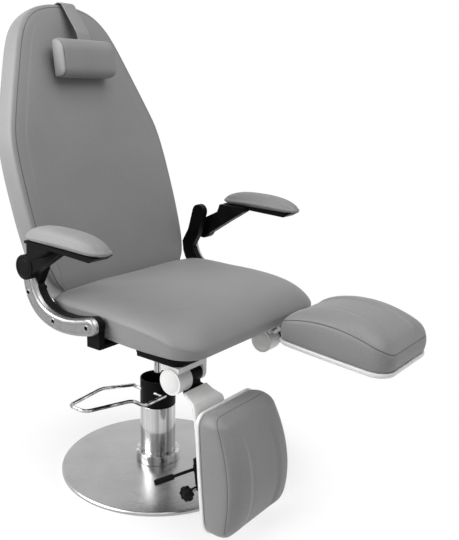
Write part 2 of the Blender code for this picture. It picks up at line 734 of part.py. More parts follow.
BRACKET_CURVE = ((-0.081, 0.5395), (0.035, 0.5075), (0.135, 0.5255), (0.148, 0.6175))
POST_KNEE = (ARM_PIVOT_Y + 0.006, ARM_PIVOT_Z - 0.007)
POST_TOP = (ARM_PIVOT_Y - 0.013, ARM_PIVOT_Z + 0.0625)
FOOT_Y = (-0.101, -0.057)
COVER_EDGE = 0.005
ARM_BASE_FRONT = (-0.202, 0.7475)
ARM_BASE_REAR = (0.074, 0.7560)
ARM_WEB = [(0.128, 0.694), (0.081, 0.717), (0.056, 0.729), (0.046, 0.7545), (-0.045, 0.7515),
           (-0.049, 0.7400), (0.019, 0.698), (0.090, 0.652), (0.105, 0.640)]
ARM_WEB_ROUND = [0, 0.010, 0.010, 0, 0.002, 0.002, 0.020, 0.010, 0]
ARM_SHOULDER = [(0.047, 0.7530), (0.049, 0.712), (0.038, 0.704), (-0.032, 0.7420), (-0.030, 0.7510)]
ARM_SHOULDER_ROUND = [0, 0.006, 0.010, 0, 0]
ARM_SHOULDER_INSET = 0.006
ARM_BASE_T = 0.013
ARM_BASE_NOSE = 0.022


def arm_line_z(y):
    """Height of the flat top of the arm, on which the pad sits."""
    share = (y - ARM_BASE_FRONT[0]) / (ARM_BASE_REAR[0] - ARM_BASE_FRONT[0])
    return ARM_BASE_FRONT[1] + share * (ARM_BASE_REAR[1] - ARM_BASE_FRONT[1])


def arm_pad_ring(distance, side, length):
    """Section of an arm pad across the chair; the pad thins out towards both ends."""
    y = ARM_PAD_FRONT + distance
    turn = end_round(min(distance, length - distance), ARM_PAD_END)
    half = ARM_PAD_HALF * (1 - 0.50 * turn)
    low = arm_line_z(y) + GAP + ARM_PAD_EDGE / 4 * turn
    edge = low + ARM_PAD_EDGE * (1 - 0.45 * turn)
    ring = cushion_ring(half, low, edge, lambda t: ARM_PAD_CROWN * (1 - 0.85 * turn) * (1 - t * t), 0.006)
    return [(side * ARM_PAD_X + x, y - ARM_PIVOT_Y, z - ARM_PIVOT_Z) for x, z in ring]


def hub_frame(points):
    """Side view points as seen from the arm's pivot."""
    return [(y - ARM_PIVOT_Y, z - ARM_PIVOT_Z) for y, z in points]


def bracket(side, word, curve):
    """Steel inner bar with its post and the foot under the seat board."""
    near, far = span(side, BRACKET_X, BRACKET_X + BRACKET_T)
    bar = ribbon(curve + [POST_KNEE, POST_TOP], BRACKET_HALF, 8, 8)
    made = prism(f"arm_bracket_{word}", bar, near, far, BLACK_STEEL, seat, SIDE_VIEW)
    inset = BRACKET_T / 12
    flange_low = SEAT_FRAME_TOP - FLANGE_T
    combine(made, "UNION", box_mesh("foot", (near + inset, FOOT_Y[0], flange_low + inset),
                                    (far - inset, FOOT_Y[1], BRACKET_CURVE[0][1])))
    flange = span(side, FRAME_HALF_X + GAP, BRACKET_X + BRACKET_T / 2)
    combine(made, "UNION", box_mesh("flange", (flange[0], FOOT_Y[0] + inset, flange_low),
                                    (flange[1], FOOT_Y[1] - inset, SEAT_FRAME_TOP)))
    bolt_line = [(x, ARM_PIVOT_Y, ARM_PIVOT_Z) for x in span(side, BRACKET_X - 2 * inset, ARM_X + ARM_T / 4)]
    combine(made, "DIFFERENCE", cylinder_mesh("bolt_bore", ARM_BOLT_R + GAP, *bolt_line))
    cylinder(f"arm_pivot_bolt_{word}", ARM_BOLT_R, *bolt_line, BRUSHED, seat)


def armrest(side, word):
    """Bracket, cover, arm, pad and pivot bolt on one side."""
    curve = bezier(*BRACKET_CURVE, 14)
    bracket(side, word, curve)
    cover_low = BRACKET_X + BRACKET_T + GAP
    near, far = span(side, cover_low, cover_low + COVER_PLATE_T)
    prism(f"bracket_cover_{word}", ribbon(curve, COVER_PLATE_HALF, 10), near, far, ALUMINIUM, seat, SIDE_VIEW,
          edge=COVER_EDGE)

    hinge = empty(f"arm_hinge_{word}", (0, ARM_PIVOT_Y, ARM_PIVOT_Z), parent=seat)
    near, far = span(side, ARM_X - ARM_T / 2, ARM_X + ARM_T / 2)
    web = rounded(hub_frame(ARM_WEB), ARM_WEB_ROUND)
    arm = prism(f"arm_{word}", web, near, far, BLACK_PLASTIC, hinge, SIDE_VIEW)
    hub = span(side, cover_low + COVER_PLATE_T + GAP, ARM_X + ARM_T / 2 + ARM_HUB_STAND)
    combine(arm, "UNION", cylinder_mesh("hub", ARM_HUB_R, (hub[0], 0, 0), (hub[1], 0, 0), 32))
    rear = ARM_PAD_REAR - ARM_BASE_NOSE / 2
    nose = ARM_BASE_FRONT[0] + ARM_BASE_NOSE
    base = [ARM_BASE_FRONT, (nose, arm_line_z(nose) - ARM_BASE_T), (rear, arm_line_z(rear) - ARM_BASE_T / 2),
            (rear, arm_line_z(rear))]
    rail = span(side, ARM_PAD_X - ARM_BASE_HALF, ARM_PAD_X + ARM_BASE_HALF)
    combine(arm, "UNION", prism_mesh("base", hub_frame(base), *rail, SIDE_VIEW))
    block = span(side, ARM_X, ARM_PAD_X + ARM_BASE_HALF - ARM_SHOULDER_INSET)
    shoulder = rounded(hub_frame(ARM_SHOULDER), ARM_SHOULDER_ROUND)
    combine(arm, "UNION", prism_mesh("shoulder", shoulder, *block, SIDE_VIEW))
    reach = span(side, cover_low, ARM_X + ARM_T / 4 + GAP)
    hub_bore = cylinder_mesh("hub_bore", ARM_BOLT_R + GAP, (reach[0], 0, 0), (reach[1], 0, 0))
    combine(arm, "DIFFERENCE", hub_bore)
    pad_length = ARM_PAD_REAR - ARM_PAD_FRONT
    pad_steps = stations(pad_length, ARM_PAD_END, ARM_PAD_END, 2, 5)
    loft(f"arm_pad_{word}", [arm_pad_ring(d, side, pad_length) for d in pad_steps], LEATHER, hinge)


for side, word in ((-1, "right"), (1, "left")):
    armrest(side, word)

# Leg rests, drawn in the tilt hinge's frame: across, -out, up

PAD_TROUGH = 0.006
PAD_TAPER = 0.014
PAD_NOSE = 0.026
SHELL_EDGE = 0.004
HUB_START = -YOKE_HALF + YOKE_DRUM + SLIDE_GAP
HUB_END = YOKE_HALF - YOKE_EAR - SLIDE_GAP
NECK_LOW = NECK_TOP - NECK_T
NECK_OUTER = 0.046
NECK_FLARE = 0.070
NECK_BEND = 0.064
GUIDE_HALF = RAIL_HALF + SLIDE_GAP + GUIDE_WALL
GUIDE_LOW = RAIL_LOW - SLIDE_GAP - GUIDE_WALL
KNOB_UP = RAIL_LOW + RAIL_DEPTH / 3
LEVER_UP = RAIL_LOW + RAIL_DEPTH / 4
LEVER_BOSS_R = 0.0065
LEVER_BOSS_HALF = 0.009
CAP_RECESS = 0.002


def side_view(points):
    """Points given as (out, up), turned into (Y, Z) of the tilt hinge."""
    return [(-out, up) for out, up in points]


def pad_half(distance):
    """Half-width of a leg pad at a distance from its hinge end."""
    share = distance / PAD_LENGTH
    straight = PAD_HALF - PAD_TAPER * (1 - share)**2
    return straight - PAD_CORNER * end_round(min(distance, PAD_LENGTH - distance), PAD_CORNER)


def pad_crown(t):
    """Height of a leg pad's face over its seam: two soft ridges with a trough between them."""
    return PAD_CROWN * (1 - t**4) - PAD_TROUGH * math.exp(-(t / 0.30)**2)


def pad_ring(distance, centre):
    """Section of a leg pad across the leg; its face arches along the leg."""
    turn = end_round(min(distance, PAD_LENGTH - distance), PAD_NOSE)
    arch = PAD_ARCH * (1 - (2 * distance / PAD_LENGTH - 1)**2)
    low = PAD_UP + PAD_EDGE_H / 12 * turn
    edge = PAD_UP + PAD_EDGE_H * (1 - 0.22 * turn) + arch
    ring = cushion_ring(pad_half(distance), low, edge, lambda t: pad_crown(t) * (1 - turn), 0.007, 13)
    return [(centre + x, -PAD_START - distance, z) for x, z in ring]


def yoke(word, frame_of):
    """The white casting that hangs from the seat and carries the tilt hinge."""
    drum = cylinder_mesh("drum", YOKE_R, (-YOKE_HALF, 0, 0), (-YOKE_HALF + YOKE_DRUM, 0, 0), 32)
    made = add_object(f"leg_yoke_{word}", drum, WHITE, frame_of, 40)
    combine(made, "UNION", box_mesh("bar", (-YOKE_HALF + 2 * CAP_RECESS, -YOKE_BAR_FRONT, YOKE_BAR_LOW),
                                    (YOKE_HALF - 0.001, YOKE_BAR_BACK, YOKE_BAR_LOW + YOKE_BAR_T)))
    ear = ribbon([(0, 0), (0, YOKE_BAR_LOW + YOKE_BAR_T / 2)], YOKE_BAR_FRONT - 0.001, 10)
    combine(made, "UNION", prism_mesh("ear", ear, YOKE_HALF - YOKE_EAR, YOKE_HALF, SIDE_VIEW))
    pin_bore = cylinder_mesh("pin_bore", LEG_PIN_R + GAP, (-2 * YOKE_HALF, 0, 0), (2 * YOKE_HALF, 0, 0))
    combine(made, "DIFFERENCE", pin_bore)
    combine(made, "DIFFERENCE", cylinder_mesh("cap_recess", YOKE_R * 0.62, (-2 * YOKE_HALF, 0, 0),
                                              (-YOKE_HALF + CAP_RECESS, 0, 0), 32))
    spread_bore = cylinder_mesh("spread_bore", SPREAD_PIN_R + GAP, (0, 0, YOKE_R / 2), (0, 0, 2 * YOKE_R))
    combine(made, "DIFFERENCE", spread_bore)


def neck(side, word, tilt):
    """White gooseneck from the hub to the tongue under the shell, flaring on its inner side."""
    steps = [((0.031, NECK_LOW - 0.0310), (0.024, NECK_LOW - 0.0240), NECK_OUTER - 0.002, NECK_OUTER - 0.003),
             ((0.045, NECK_LOW - 0.0165), (0.038, NECK_LOW - 0.0095), NECK_OUTER - 0.001, NECK_OUTER),
             ((0.057, NECK_LOW - 0.0025), (0.050, NECK_LOW + 0.0045), NECK_OUTER, 0.8 * NECK_FLARE),
             ((NECK_BEND, NECK_LOW), (NECK_BEND - 0.004, NECK_TOP), NECK_OUTER + 0.002, 0.97 * NECK_FLARE),
             ((0.085, NECK_LOW), (0.085, NECK_TOP), NECK_OUTER + 0.002, NECK_FLARE),
             ((TONGUE_END, NECK_LOW), (TONGUE_END, NECK_TOP), NECK_OUTER + 0.002, NECK_FLARE)]
    rings = []
    for under, over, outer, inner in steps:
        rings.append([(side * outer, -under[0], under[1]), (-side * inner, -under[0], under[1]),
                      (-side * inner, -over[0], over[1]), (side * outer, -over[0], over[1])])
    made = loft(f"leg_neck_{word}", rings, WHITE, tilt, 35)
    round_edges(made, 0.0025, 2, 60)


def tilting_frame(side, word, tilt):
    """Black hub on the hinge pin, white neck and the rail the pad slides on."""
    hub_mesh = cylinder_mesh("hub", HUB_R, (HUB_START, 0, 0), (HUB_END, 0, 0), 24)
    hub = add_object(f"leg_hub_{word}", hub_mesh, BLACK_STEEL, tilt, 40)
    stem_end = RAIL_START - GAP
    arm = side_view([(0.0, -0.018), (0.046, -0.004), (stem_end, RAIL_LOW), (stem_end, RAIL_TOP - 0.004),
                     (0.058, RAIL_TOP - 0.0045), (0.028, NECK_LOW - 0.035), (0.026, NECK_LOW - 0.042),
                     (0.0, 0.012)])
    combine(hub, "UNION", prism_mesh("arm", arm, HUB_START + 0.001, HUB_END - 0.001, SIDE_VIEW))
    pin_bore = cylinder_mesh("pin_bore", LEG_PIN_R + GAP, (-YOKE_HALF, 0, 0), (YOKE_HALF, 0, 0))
    combine(hub, "DIFFERENCE", pin_bore)
    neck(side, word, tilt)
    rail = side_view([(RAIL_START, RAIL_LOW), (RAIL_START, RAIL_TOP), (RAIL_END, RAIL_TOP),
                      (RAIL_END, RAIL_LOW + RAIL_DEPTH / 3)])
    prism(f"leg_rail_{word}", rail, -RAIL_HALF, RAIL_HALF, BLACK_STEEL, tilt, SIDE_VIEW, edge=0.002)


def sliding_pad(side, word, carriage):
    """Guide on the rail with the shell and the pad it carries."""
    centre = -side * PAD_OFFSET
    guide_end = GUIDE_START + GUIDE_LENGTH
    guide = box(f"leg_guide_{word}", (-GUIDE_HALF, -guide_end, GUIDE_LOW),
                (GUIDE_HALF, -GUIDE_START, SHELL_LOW - GAP), BLACK_STEEL, carriage)
    channel = RAIL_HALF + SLIDE_GAP
    combine(guide, "DIFFERENCE", box_mesh("channel", (-channel, -2 * guide_end, RAIL_LOW - SLIDE_GAP),
                                          (channel, 0, 2 * SHELL_LOW)))
    steps = stations(PAD_LENGTH, PAD_CORNER, PAD_CORNER)
    shell_right = [(centre + pad_half(d) + SHELL_LIP, -PAD_START - d) for d in steps]
    shell_left = [(2 * centre - x, y) for x, y in reversed(shell_right)]
    prism(f"leg_shell_{word}", shell_right + shell_left, SHELL_LOW, PAD_UP - GAP, WHITE, carriage,
          edge=SHELL_EDGE)
    loft(f"leg_pad_{word}", [pad_ring(d, centre) for d in steps], LEATHER, carriage)


def leg_rest(side, word, angle, push):
    """Everything from the block under the seat to the pad, on one side."""
    x = side * LEG_X
    block = box(f"leg_block_{word}", (x - BLOCK_HALF, LEG_HINGE_Y - BLOCK_FRONT, BLOCK_LOW),
                (x + BLOCK_HALF, FRAME_FRONT_Y - GAP, SEAT_FRAME_TOP), BLACK_STEEL, seat)
    round_edges(block, 0.003)
    pin_low = LEG_HINGE_Z + YOKE_BAR_LOW + GAP
    spread_line = [(x, LEG_HINGE_Y, z) for z in (pin_low, SEAT_FRAME_TOP)]
    bore_line = [(x, LEG_HINGE_Y, z) for z in (pin_low, SEAT_FRAME_TOP + RUN_GAP)]
    combine(block, "DIFFERENCE", cylinder_mesh("spread_bore", SPREAD_PIN_R + GAP, *bore_line))
    cylinder(f"leg_spread_pin_{word}", SPREAD_PIN_R, *spread_line, BRUSHED, seat)

    spread = empty(f"leg_spread_{word}", (x, LEG_HINGE_Y, LEG_HINGE_Z), parent=seat)
    yoke(word, spread)
    cylinder(f"leg_hinge_pin_{word}", LEG_PIN_R, (-YOKE_HALF + RUN_GAP, 0, 0), (YOKE_HALF + RUN_GAP, 0, 0),
             BRUSHED, spread)
    tilt = empty(f"leg_tilt_{word}", (0, 0, 0), (angle, 0, 0), spread)
    tilting_frame(side, word, tilt)
    carriage = empty(f"leg_push_{word}", (0, -push, 0), parent=tilt)
    sliding_pad(side, word, carriage)
    release_lever(side, word, carriage)
    clamp_knob(side, word, carriage)


def release_lever(side, word, carriage):
    """Rod with a grip, hinged on the outer wall of the guide."""
    boss_x = side * (GUIDE_HALF + GAP + LEVER_BOSS_R)
    hinge = empty(f"lever_hinge_{word}", (boss_x, -LEVER_OUT, LEVER_UP), parent=carriage)
    along = Vector((side * math.cos(LEVER_DROOP), -0.18, -math.sin(LEVER_DROOP))).normalized()
    boss = cylinder_mesh("boss", LEVER_BOSS_R, (0, -LEVER_BOSS_HALF, 0), (0, LEVER_BOSS_HALF, 0))
    lever = add_object(f"leg_lever_{word}", boss, BLACK_STEEL, hinge, 40)
    tip = along * LEVER_LENGTH
    combine(lever, "UNION", cylinder_mesh("rod", LEVER_R, (0, 0, 0), tip, 16))
    start = along * (LEVER_LENGTH - GRIP_LENGTH + RUN_GAP)
    end = along * (LEVER_LENGTH + RUN_GAP)
    grip_mesh = cylinder_mesh("grip", GRIP_R, start, end, 24)
    grip = add_object(f"leg_lever_grip_{word}", grip_mesh, BLACK_PLASTIC, hinge, 40)
    round_edges(grip, 0.0018)
    bore = cylinder_mesh("grip_bore", LEVER_R + GAP, start - along * RUN_GAP, tip + along * GAP, 16)
    combine(grip, "DIFFERENCE", bore)


def clamp_knob(side, word, carriage):
    """Star knob on a stem that clamps the guide to the rail."""
    hinge = empty(f"knob_axis_{word}", (0, -KNOB_OUT, KNOB_UP), parent=carriage)
    near, far = span(side, GUIDE_HALF + GAP, GUIDE_HALF + KNOB_STAND - GAP)
    cylinder(f"leg_knob_stem_{word}", STEM_R, (near, 0, 0), (far, 0, 0), CHROME, hinge)
    steps = KNOB_LOBES * 6
    outline = []
    for k in range(steps):
        turn = 2 * math.pi * k / steps
        radius = KNOB_R * (1 + 0.09 * math.cos(KNOB_LOBES * turn))
        outline.append((radius * math.cos(turn), radius * math.sin(turn)))
    near, far = span(side, GUIDE_HALF + KNOB_STAND, GUIDE_HALF + KNOB_STAND + KNOB_T)
    prism(f"leg_knob_{word}", outline, near, far, BLACK_PLASTIC, hinge, SIDE_VIEW, edge=0.003)


leg_rest(-1, "right", LEG_LOW, 0.0)
leg_rest(1, "left", LEG_HIGH, LEG_PUSH_OUT)
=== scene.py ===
"""Looks of the pedicure chair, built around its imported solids."""
from math import atan2, copysign, cos, exp, pi, radians, sin, sqrt, tan

import bmesh
import bpy
import numpy as np
from mathutils import Matrix, Vector


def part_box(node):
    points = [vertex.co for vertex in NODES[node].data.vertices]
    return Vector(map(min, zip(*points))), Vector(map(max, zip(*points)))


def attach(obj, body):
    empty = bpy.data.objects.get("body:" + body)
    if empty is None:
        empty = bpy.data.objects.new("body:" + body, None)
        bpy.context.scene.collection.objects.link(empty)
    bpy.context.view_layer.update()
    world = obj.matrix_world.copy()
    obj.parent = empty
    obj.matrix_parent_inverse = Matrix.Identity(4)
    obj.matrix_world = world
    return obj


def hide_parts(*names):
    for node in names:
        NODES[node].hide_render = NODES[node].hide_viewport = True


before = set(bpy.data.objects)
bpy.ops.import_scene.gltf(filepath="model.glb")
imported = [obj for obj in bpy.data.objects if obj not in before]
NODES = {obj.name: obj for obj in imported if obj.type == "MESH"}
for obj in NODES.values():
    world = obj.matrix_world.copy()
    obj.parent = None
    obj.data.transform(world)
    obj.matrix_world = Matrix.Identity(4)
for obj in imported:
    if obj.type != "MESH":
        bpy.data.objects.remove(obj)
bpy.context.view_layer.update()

# Materials

def grey(level):
    """A neutral colour."""
    return (level, level, level)


def new_material(name, colour, roughness, metallic=0.0):
    """A material with its shader at hand."""
    made = bpy.data.materials.new(name)
    made.use_nodes = True
    shader = made.node_tree.nodes["Principled BSDF"]
    give(shader, Base_Color=(*colour, 1.0), Roughness=roughness, Metallic=metallic)
    return made, shader


def give(node, **values):
    """Set named properties and inputs of a node."""
    for key, value in values.items():
        if hasattr(node, key):
            setattr(node, key, value)
        else:
            node.inputs[key.replace("_", " ")].default_value = value
    return node


def add(tree, kind, **values):
    """A new node with its values."""
    return give(tree.nodes.new(kind), **values)


def join(output, socket):
    """Link an output to an input of the same tree."""
    output.id_data.links.new(output, socket)


def place_of(shader, scale=(1.0, 1.0, 1.0)):
    """Object coordinates, stretched."""
    where = add(shader.id_data, "ShaderNodeTexCoord")
    mapping = add(shader.id_data, "ShaderNodeMapping", Scale=scale)
    join(where.outputs["Object"], mapping.inputs["Vector"])
    return mapping.outputs["Vector"]


def noise(where, scale, detail=2.0, roughness=0.5):
    """A noise texture's value."""
    node = add(where.id_data, "ShaderNodeTexNoise", Scale=scale, Detail=detail, Roughness=roughness)
    join(where, node.inputs["Vector"])
    return node.outputs["Fac"]


def shade(shader, socket, value, *stops):
    """Drive an input of a shader by a ramp with two stops of (place, grey level or colour)."""
    node = add(shader.id_data, "ShaderNodeValToRGB")
    for point, (at, level) in zip(node.color_ramp.elements, stops):
        point.position = at
        point.color = (*(level if isinstance(level, tuple) else grey(level)), 1.0)
    join(value, node.inputs["Fac"])
    join(node.outputs["Color"], shader.inputs[socket])


def bump(shader, height, distance, strength):
    """Small relief from a height."""
    node = add(shader.id_data, "ShaderNodeBump", Strength=strength, Distance=distance)
    join(height, node.inputs["Height"])
    join(node.outputs["Normal"], shader.inputs["Normal"])


def mixed(a, b, share):
    """One value between two."""
    node = add(a.id_data, "ShaderNodeMix", data_type="FLOAT", Factor=share)
    join(a, node.inputs[2])
    join(b, node.inputs[3])
    return node.outputs[0]


def leatherette(name, light, dark):
    """Grained synthetic leather: fine mottled grey with a small pebble."""
    made, shader = new_material(name, light, 0.55)
    where = place_of(shader)
    mottle = noise(where, scale=420.0, detail=3.0, roughness=0.65)
    both = mixed(mottle, noise(where, scale=7.0), share=0.3)
    shade(shader, "Base Color", both, (0.34, dark), (0.66, light))
    shade(shader, "Roughness", both, (0.3, 0.5), (0.7, 0.62))
    pebble = add(shader.id_data, "ShaderNodeTexVoronoi", feature="SMOOTH_F1", Scale=950.0)
    join(where, pebble.inputs["Vector"])
    height = mixed(pebble.outputs["Distance"], noise(where, scale=1500.0), share=0.45)
    bump(shader, height, distance=0.0004, strength=0.45)
    give(shader, Sheen_Weight=0.1, Sheen_Roughness=0.5)
    return made


BLACK_BELOW, BLACK_SPECULAR, PAINT_SPECULAR = 0.1, 0.06, 0.5


def coated(name, light, dark, roughness, grain, depth, coat=0.0):
    """Painted, moulded or cast surface: slightly uneven colour and a fine relief."""
    made, shader = new_material(name, light, roughness)
    where = place_of(shader)
    broad = noise(where, scale=24.0, detail=4.0, roughness=0.6)
    shade(shader, "Base Color", broad, (0.32, dark), (0.68, light))
    shade(shader, "Roughness", broad, (0.3, roughness * 0.85), (0.7, roughness * 1.15))
    bump(shader, noise(where, scale=grain), distance=depth, strength=0.35)
    specular = BLACK_SPECULAR if light[0] < BLACK_BELOW else PAINT_SPECULAR
    give(shader, Coat_Weight=coat, Coat_Roughness=0.12, Specular_IOR_Level=specular)
    return made


def metal(name, light, dark, roughness, stretch, scale, depth):
    """Bare metal with fine marks drawn out along one direction; on chrome, long light and dark streaks of
    painted reflection.
    """
    made, shader = new_material(name, light, roughness, 1.0)
    marks = noise(place_of(shader, stretch), scale, detail=3.0, roughness=0.6)
    # on chrome the marks are long upright streaks whose light and dark are painted reflection of the surround
    shade(shader, "Base Color", marks, (0.3, dark), (0.7, light))
    shade(shader, "Roughness", marks, (0.3, roughness * 0.75), (0.7, roughness * 1.3))
    bump(shader, marks, distance=depth, strength=0.3)
    return made


def spun_steel(name):
    """Steel disc brushed in rings about the upright axis."""
    made, shader = new_material(name, grey(0.7), 0.24, 1.0)
    radius = add(shader.id_data, "ShaderNodeVectorMath", operation="LENGTH")
    join(place_of(shader, (1.0, 1.0, 0.0)), radius.inputs[0])
    rings = add(shader.id_data, "ShaderNodeCombineXYZ")
    join(radius.outputs["Value"], rings.inputs["X"])
    marks = noise(rings.outputs["Vector"], scale=1400.0, detail=3.0, roughness=0.7)
    both = mixed(marks, noise(place_of(shader), scale=9.0, detail=3.0), share=0.4)
    shade(shader, "Base Color", both, (0.3, 0.33), (0.7, 0.48))
    shade(shader, "Roughness", both, (0.3, 0.21), (0.7, 0.33))
    bump(shader, marks, distance=0.0001, strength=0.2)
    give(shader, Anisotropic=0.45)
    return made


def webbing(name):
    """Woven strap: ribs across a fine weave."""
    made, shader = new_material(name, grey(0.16), 0.75)
    where = place_of(shader)
    ribs = add(shader.id_data, "ShaderNodeTexWave", bands_direction="Z", Scale=420.0, Distortion=0.6)
    join(where, ribs.inputs["Vector"])
    both = mixed(ribs.outputs["Fac"], noise(where, scale=900.0), share=0.5)
    shade(shader, "Base Color", both, (0.3, 0.17), (0.7, 0.26))
    bump(shader, both, distance=0.0005, strength=0.5)
    return made


LEATHER = leatherette("grey_leatherette_grain", (0.19, 0.19, 0.189), (0.146, 0.146, 0.145))
# painted shade: the dark leatherette of the seam cords stands for the shade in the seams' grooves
SEAM_SHADE = leatherette("seam_groove_painted_shade", grey(0.06), grey(0.04))
BLACK_PLASTIC = coated("black_moulded_plastic", grey(0.0052), grey(0.0034),
                       roughness=0.42, grain=900.0, depth=0.0003)
BLACK_STEEL = coated("black_powder_coat", grey(0.005), grey(0.0032),
                     roughness=0.38, grain=600.0, depth=0.0004)
WHITE = coated("white_enamel_coat", (0.63, 0.63, 0.625), (0.57, 0.57, 0.565),
               roughness=0.34, grain=350.0, depth=0.0003, coat=0.15)
IRON = coated("cast_iron_rough", grey(0.05), grey(0.03), roughness=0.7, grain=300.0, depth=0.0006)
BOARD = coated("black_stained_board", (0.035, 0.032, 0.03), (0.022, 0.02, 0.019),
               roughness=0.65, grain=220.0, depth=0.0004)
# painted reflection: the chrome's colour runs in long upright streaks from near white to dark grey, standing
# for the mirrored surround
CHROME_PAINTED_REFLECTIONS = metal("chrome_painted_reflection_streaks", grey(0.78), grey(0.2),
               roughness=0.1, stretch=(1.0, 1.0, 0.01), scale=42.0, depth=0.00004)
STEEL = metal("brushed_bright_steel", grey(0.56), grey(0.44),
              roughness=0.28, stretch=(0.1, 1.0, 1.0), scale=700.0, depth=0.0001)
ALUMINIUM = metal("satin_aluminium", grey(0.33), grey(0.26),
                  roughness=0.42, stretch=(1.0, 0.25, 0.25), scale=900.0, depth=0.0002)
POLISHED = metal("polished_aluminium", grey(0.37), grey(0.31),
                 roughness=0.38, stretch=(1.0, 0.3, 0.3), scale=300.0, depth=0.00005)
SPUN = spun_steel("spun_steel_disc")
STRAP = webbing("strap_weave")

SLOT_LOOK = {
    "grey_leatherette": LEATHER, "black_plastic": BLACK_PLASTIC, "black_steel": BLACK_STEEL, "chrome": CHROME_PAINTED_REFLECTIONS,
    "brushed_steel": STEEL, "cast_aluminium": ALUMINIUM, "white_enamel": WHITE, "cast_iron": IRON,
    "board": BOARD, "strap_webbing": STRAP,
}

# Mesh helpers

ALL_SMOOTH = 180


def placed(name, data):
    """A new object in the scene."""
    made = bpy.data.objects.new(name, data)
    bpy.context.scene.collection.objects.link(made)
    return made


def piece(mesh, body, slot, stands_for=(), smooth=40, look=None):
    """Put a mesh on a body, in its slot's look or another; edges sharper than the angle smooth stay sharp."""
    mesh.materials.clear()
    mesh.materials.append(look or SLOT_LOOK[slot])
    mesh.shade_smooth()
    if smooth < ALL_SMOOTH:
        mesh.set_sharp_from_angle(angle=radians(smooth))
    made = placed(mesh.name, mesh)
    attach(made, body)
    if stands_for:
        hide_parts(*stands_for)
    return made


def mesh_of(name, points, faces):
    """A mesh with its faces turned outwards."""
    mesh = bpy.data.meshes.new(name)
    mesh.from_pydata([tuple(p) for p in points], [], faces)
    bm = bmesh.new()
    bm.from_mesh(mesh)
    bmesh.ops.recalc_face_normals(bm, faces=bm.faces[:])
    if bm.calc_volume(signed=True) < 0:
        bmesh.ops.reverse_faces(bm, faces=bm.faces[:])
    bm.to_mesh(mesh)
    bm.free()
    return mesh


def bands(rings):
    """Four-sided faces between neighbouring rings of points."""
    faces = []
    for here, there in zip(rings, rings[1:]):
        for k in range(len(here)):
            after = (k + 1) % len(here)
            faces.append((here[k], here[after], there[after], there[k]))
    return faces


def stack(name, points, count):
    """A closed mesh out of rings of so many points each."""
    rings = [range(start, start + count) for start in range(0, len(points), count)]
    return mesh_of(name, points, bands(rings) + [tuple(rings[0]), tuple(reversed(rings[-1]))])


def turns(steps):
    """Angles evenly round a circle."""
    return [2 * pi * k / steps for k in range(steps)]


def polar(radius, turn):
    """A place at a distance and an angle."""
    return radius * cos(turn), radius * sin(turn)


def left_of(along):
    """Unit directions to the left of directions in a plane."""
    along = along / np.linalg.norm(along, axis=1)[:, None]
    return np.stack([-along[:, 1], along[:, 0]], 1)


# half of a corner's angle, in radians, from which the corner counts as straight
STRAIGHT_FROM = 1.55


def fillet(points, radii, steps):
    """A closed outline with its corners rounded, each by its own radius."""
    count = len(points)
    outline = []
    for i, (corner, r) in enumerate(zip(points, radii)):
        here = Vector(corner)
        before = (Vector(points[i - 1]) - here).normalized()
        after = (Vector(points[(i + 1) % count]) - here).normalized()
        half_angle = before.angle(after) / 2
        if r == 0.0 or half_angle > STRAIGHT_FROM:
            outline.append(tuple(here))
            continue
        reach = r / tan(half_angle)
        centre = here + (before + after).normalized() * (r / sin(half_angle))
        first = here + before * reach - centre
        last = here + after * reach - centre
        turn = first.angle_signed(last)
        for k in range(steps + 1):
            arm = first.copy()
            arm.rotate(Matrix.Rotation(-turn * k / steps, 2))
            outline.append(tuple(centre + arm))
    return outline


ON_AXIS = 1e-6


def lathe(name, profile, steps, view=Matrix.Identity(4)):
    """Turn a closed profile of (radius, z) about the Z axis of a view."""
    points, rings = [], []
    for radius, z in profile:
        start = len(points)
        if radius < ON_AXIS:
            rings.append([start] * steps)
            points.append(view @ Vector((0.0, 0.0, z)))
            continue
        rings.append(range(start, start + steps))
        for turn in turns(steps):
            points.append(view @ Vector((*polar(radius, turn), z)))
    faces = [tuple(dict.fromkeys(face)) for face in bands(rings + rings[:1])]
    return mesh_of(name, points, [face for face in faces if len(face) > 2])


def closed_cord(name, path, radius, sides=8):
    """A round cord along a closed line of points."""
    count = len(path)
    alongs = [(path[(i + 1) % count] - path[i - 1]).normalized() for i in range(count)]
    side = alongs[0].orthogonal().normalized()
    points, rings = [], []
    for place, along in zip(path, alongs):
        side = (side - along * side.dot(along)).normalized()
        other = along.cross(side)
        rings.append(list(range(len(points), len(points) + sides)))
        for turn in turns(sides):
            points.append(place + (side * cos(turn) + other * sin(turn)) * radius)
    gaps = [(points[k] - points[rings[0][0]]).length for k in rings[-1]]
    shift = gaps.index(min(gaps))
    last = rings[-1][shift:] + rings[-1][:shift]
    return mesh_of(name, points, bands(rings) + bands([last, rings[0]]))


def loop_insides(loop):
    """Unit directions into an anticlockwise loop, one at each point."""
    return left_of(np.roll(loop, -1, 0) - np.roll(loop, 1, 0))


def plate(name, outline, rows, view):
    """A flat piece with shaped edges: rows of (inset, height) from its top face to its bottom face."""
    loop = np.asarray(outline)
    area = np.sum(loop[:, 0] * np.roll(loop[:, 1], -1) - np.roll(loop[:, 0], -1) * loop[:, 1])
    if area < 0:
        loop = loop[::-1]
    inside = loop_insides(loop)
    points = []
    for inset, height in rows:
        for x, y in loop + inside * inset:
            points.append(view @ Vector((x, y, height)))
    return stack(name, points, len(loop))


def resample(points, count):
    """Points spaced evenly along a line."""
    line = np.asarray(points, float)
    steps = np.linalg.norm(np.diff(line, axis=0), axis=1)
    reach = np.concatenate([[0.0], np.cumsum(steps)])
    where = np.linspace(0.0, reach[-1], count + 1)
    return np.stack([np.interp(where, reach, line[:, k]) for k in range(line.shape[1])], 1)


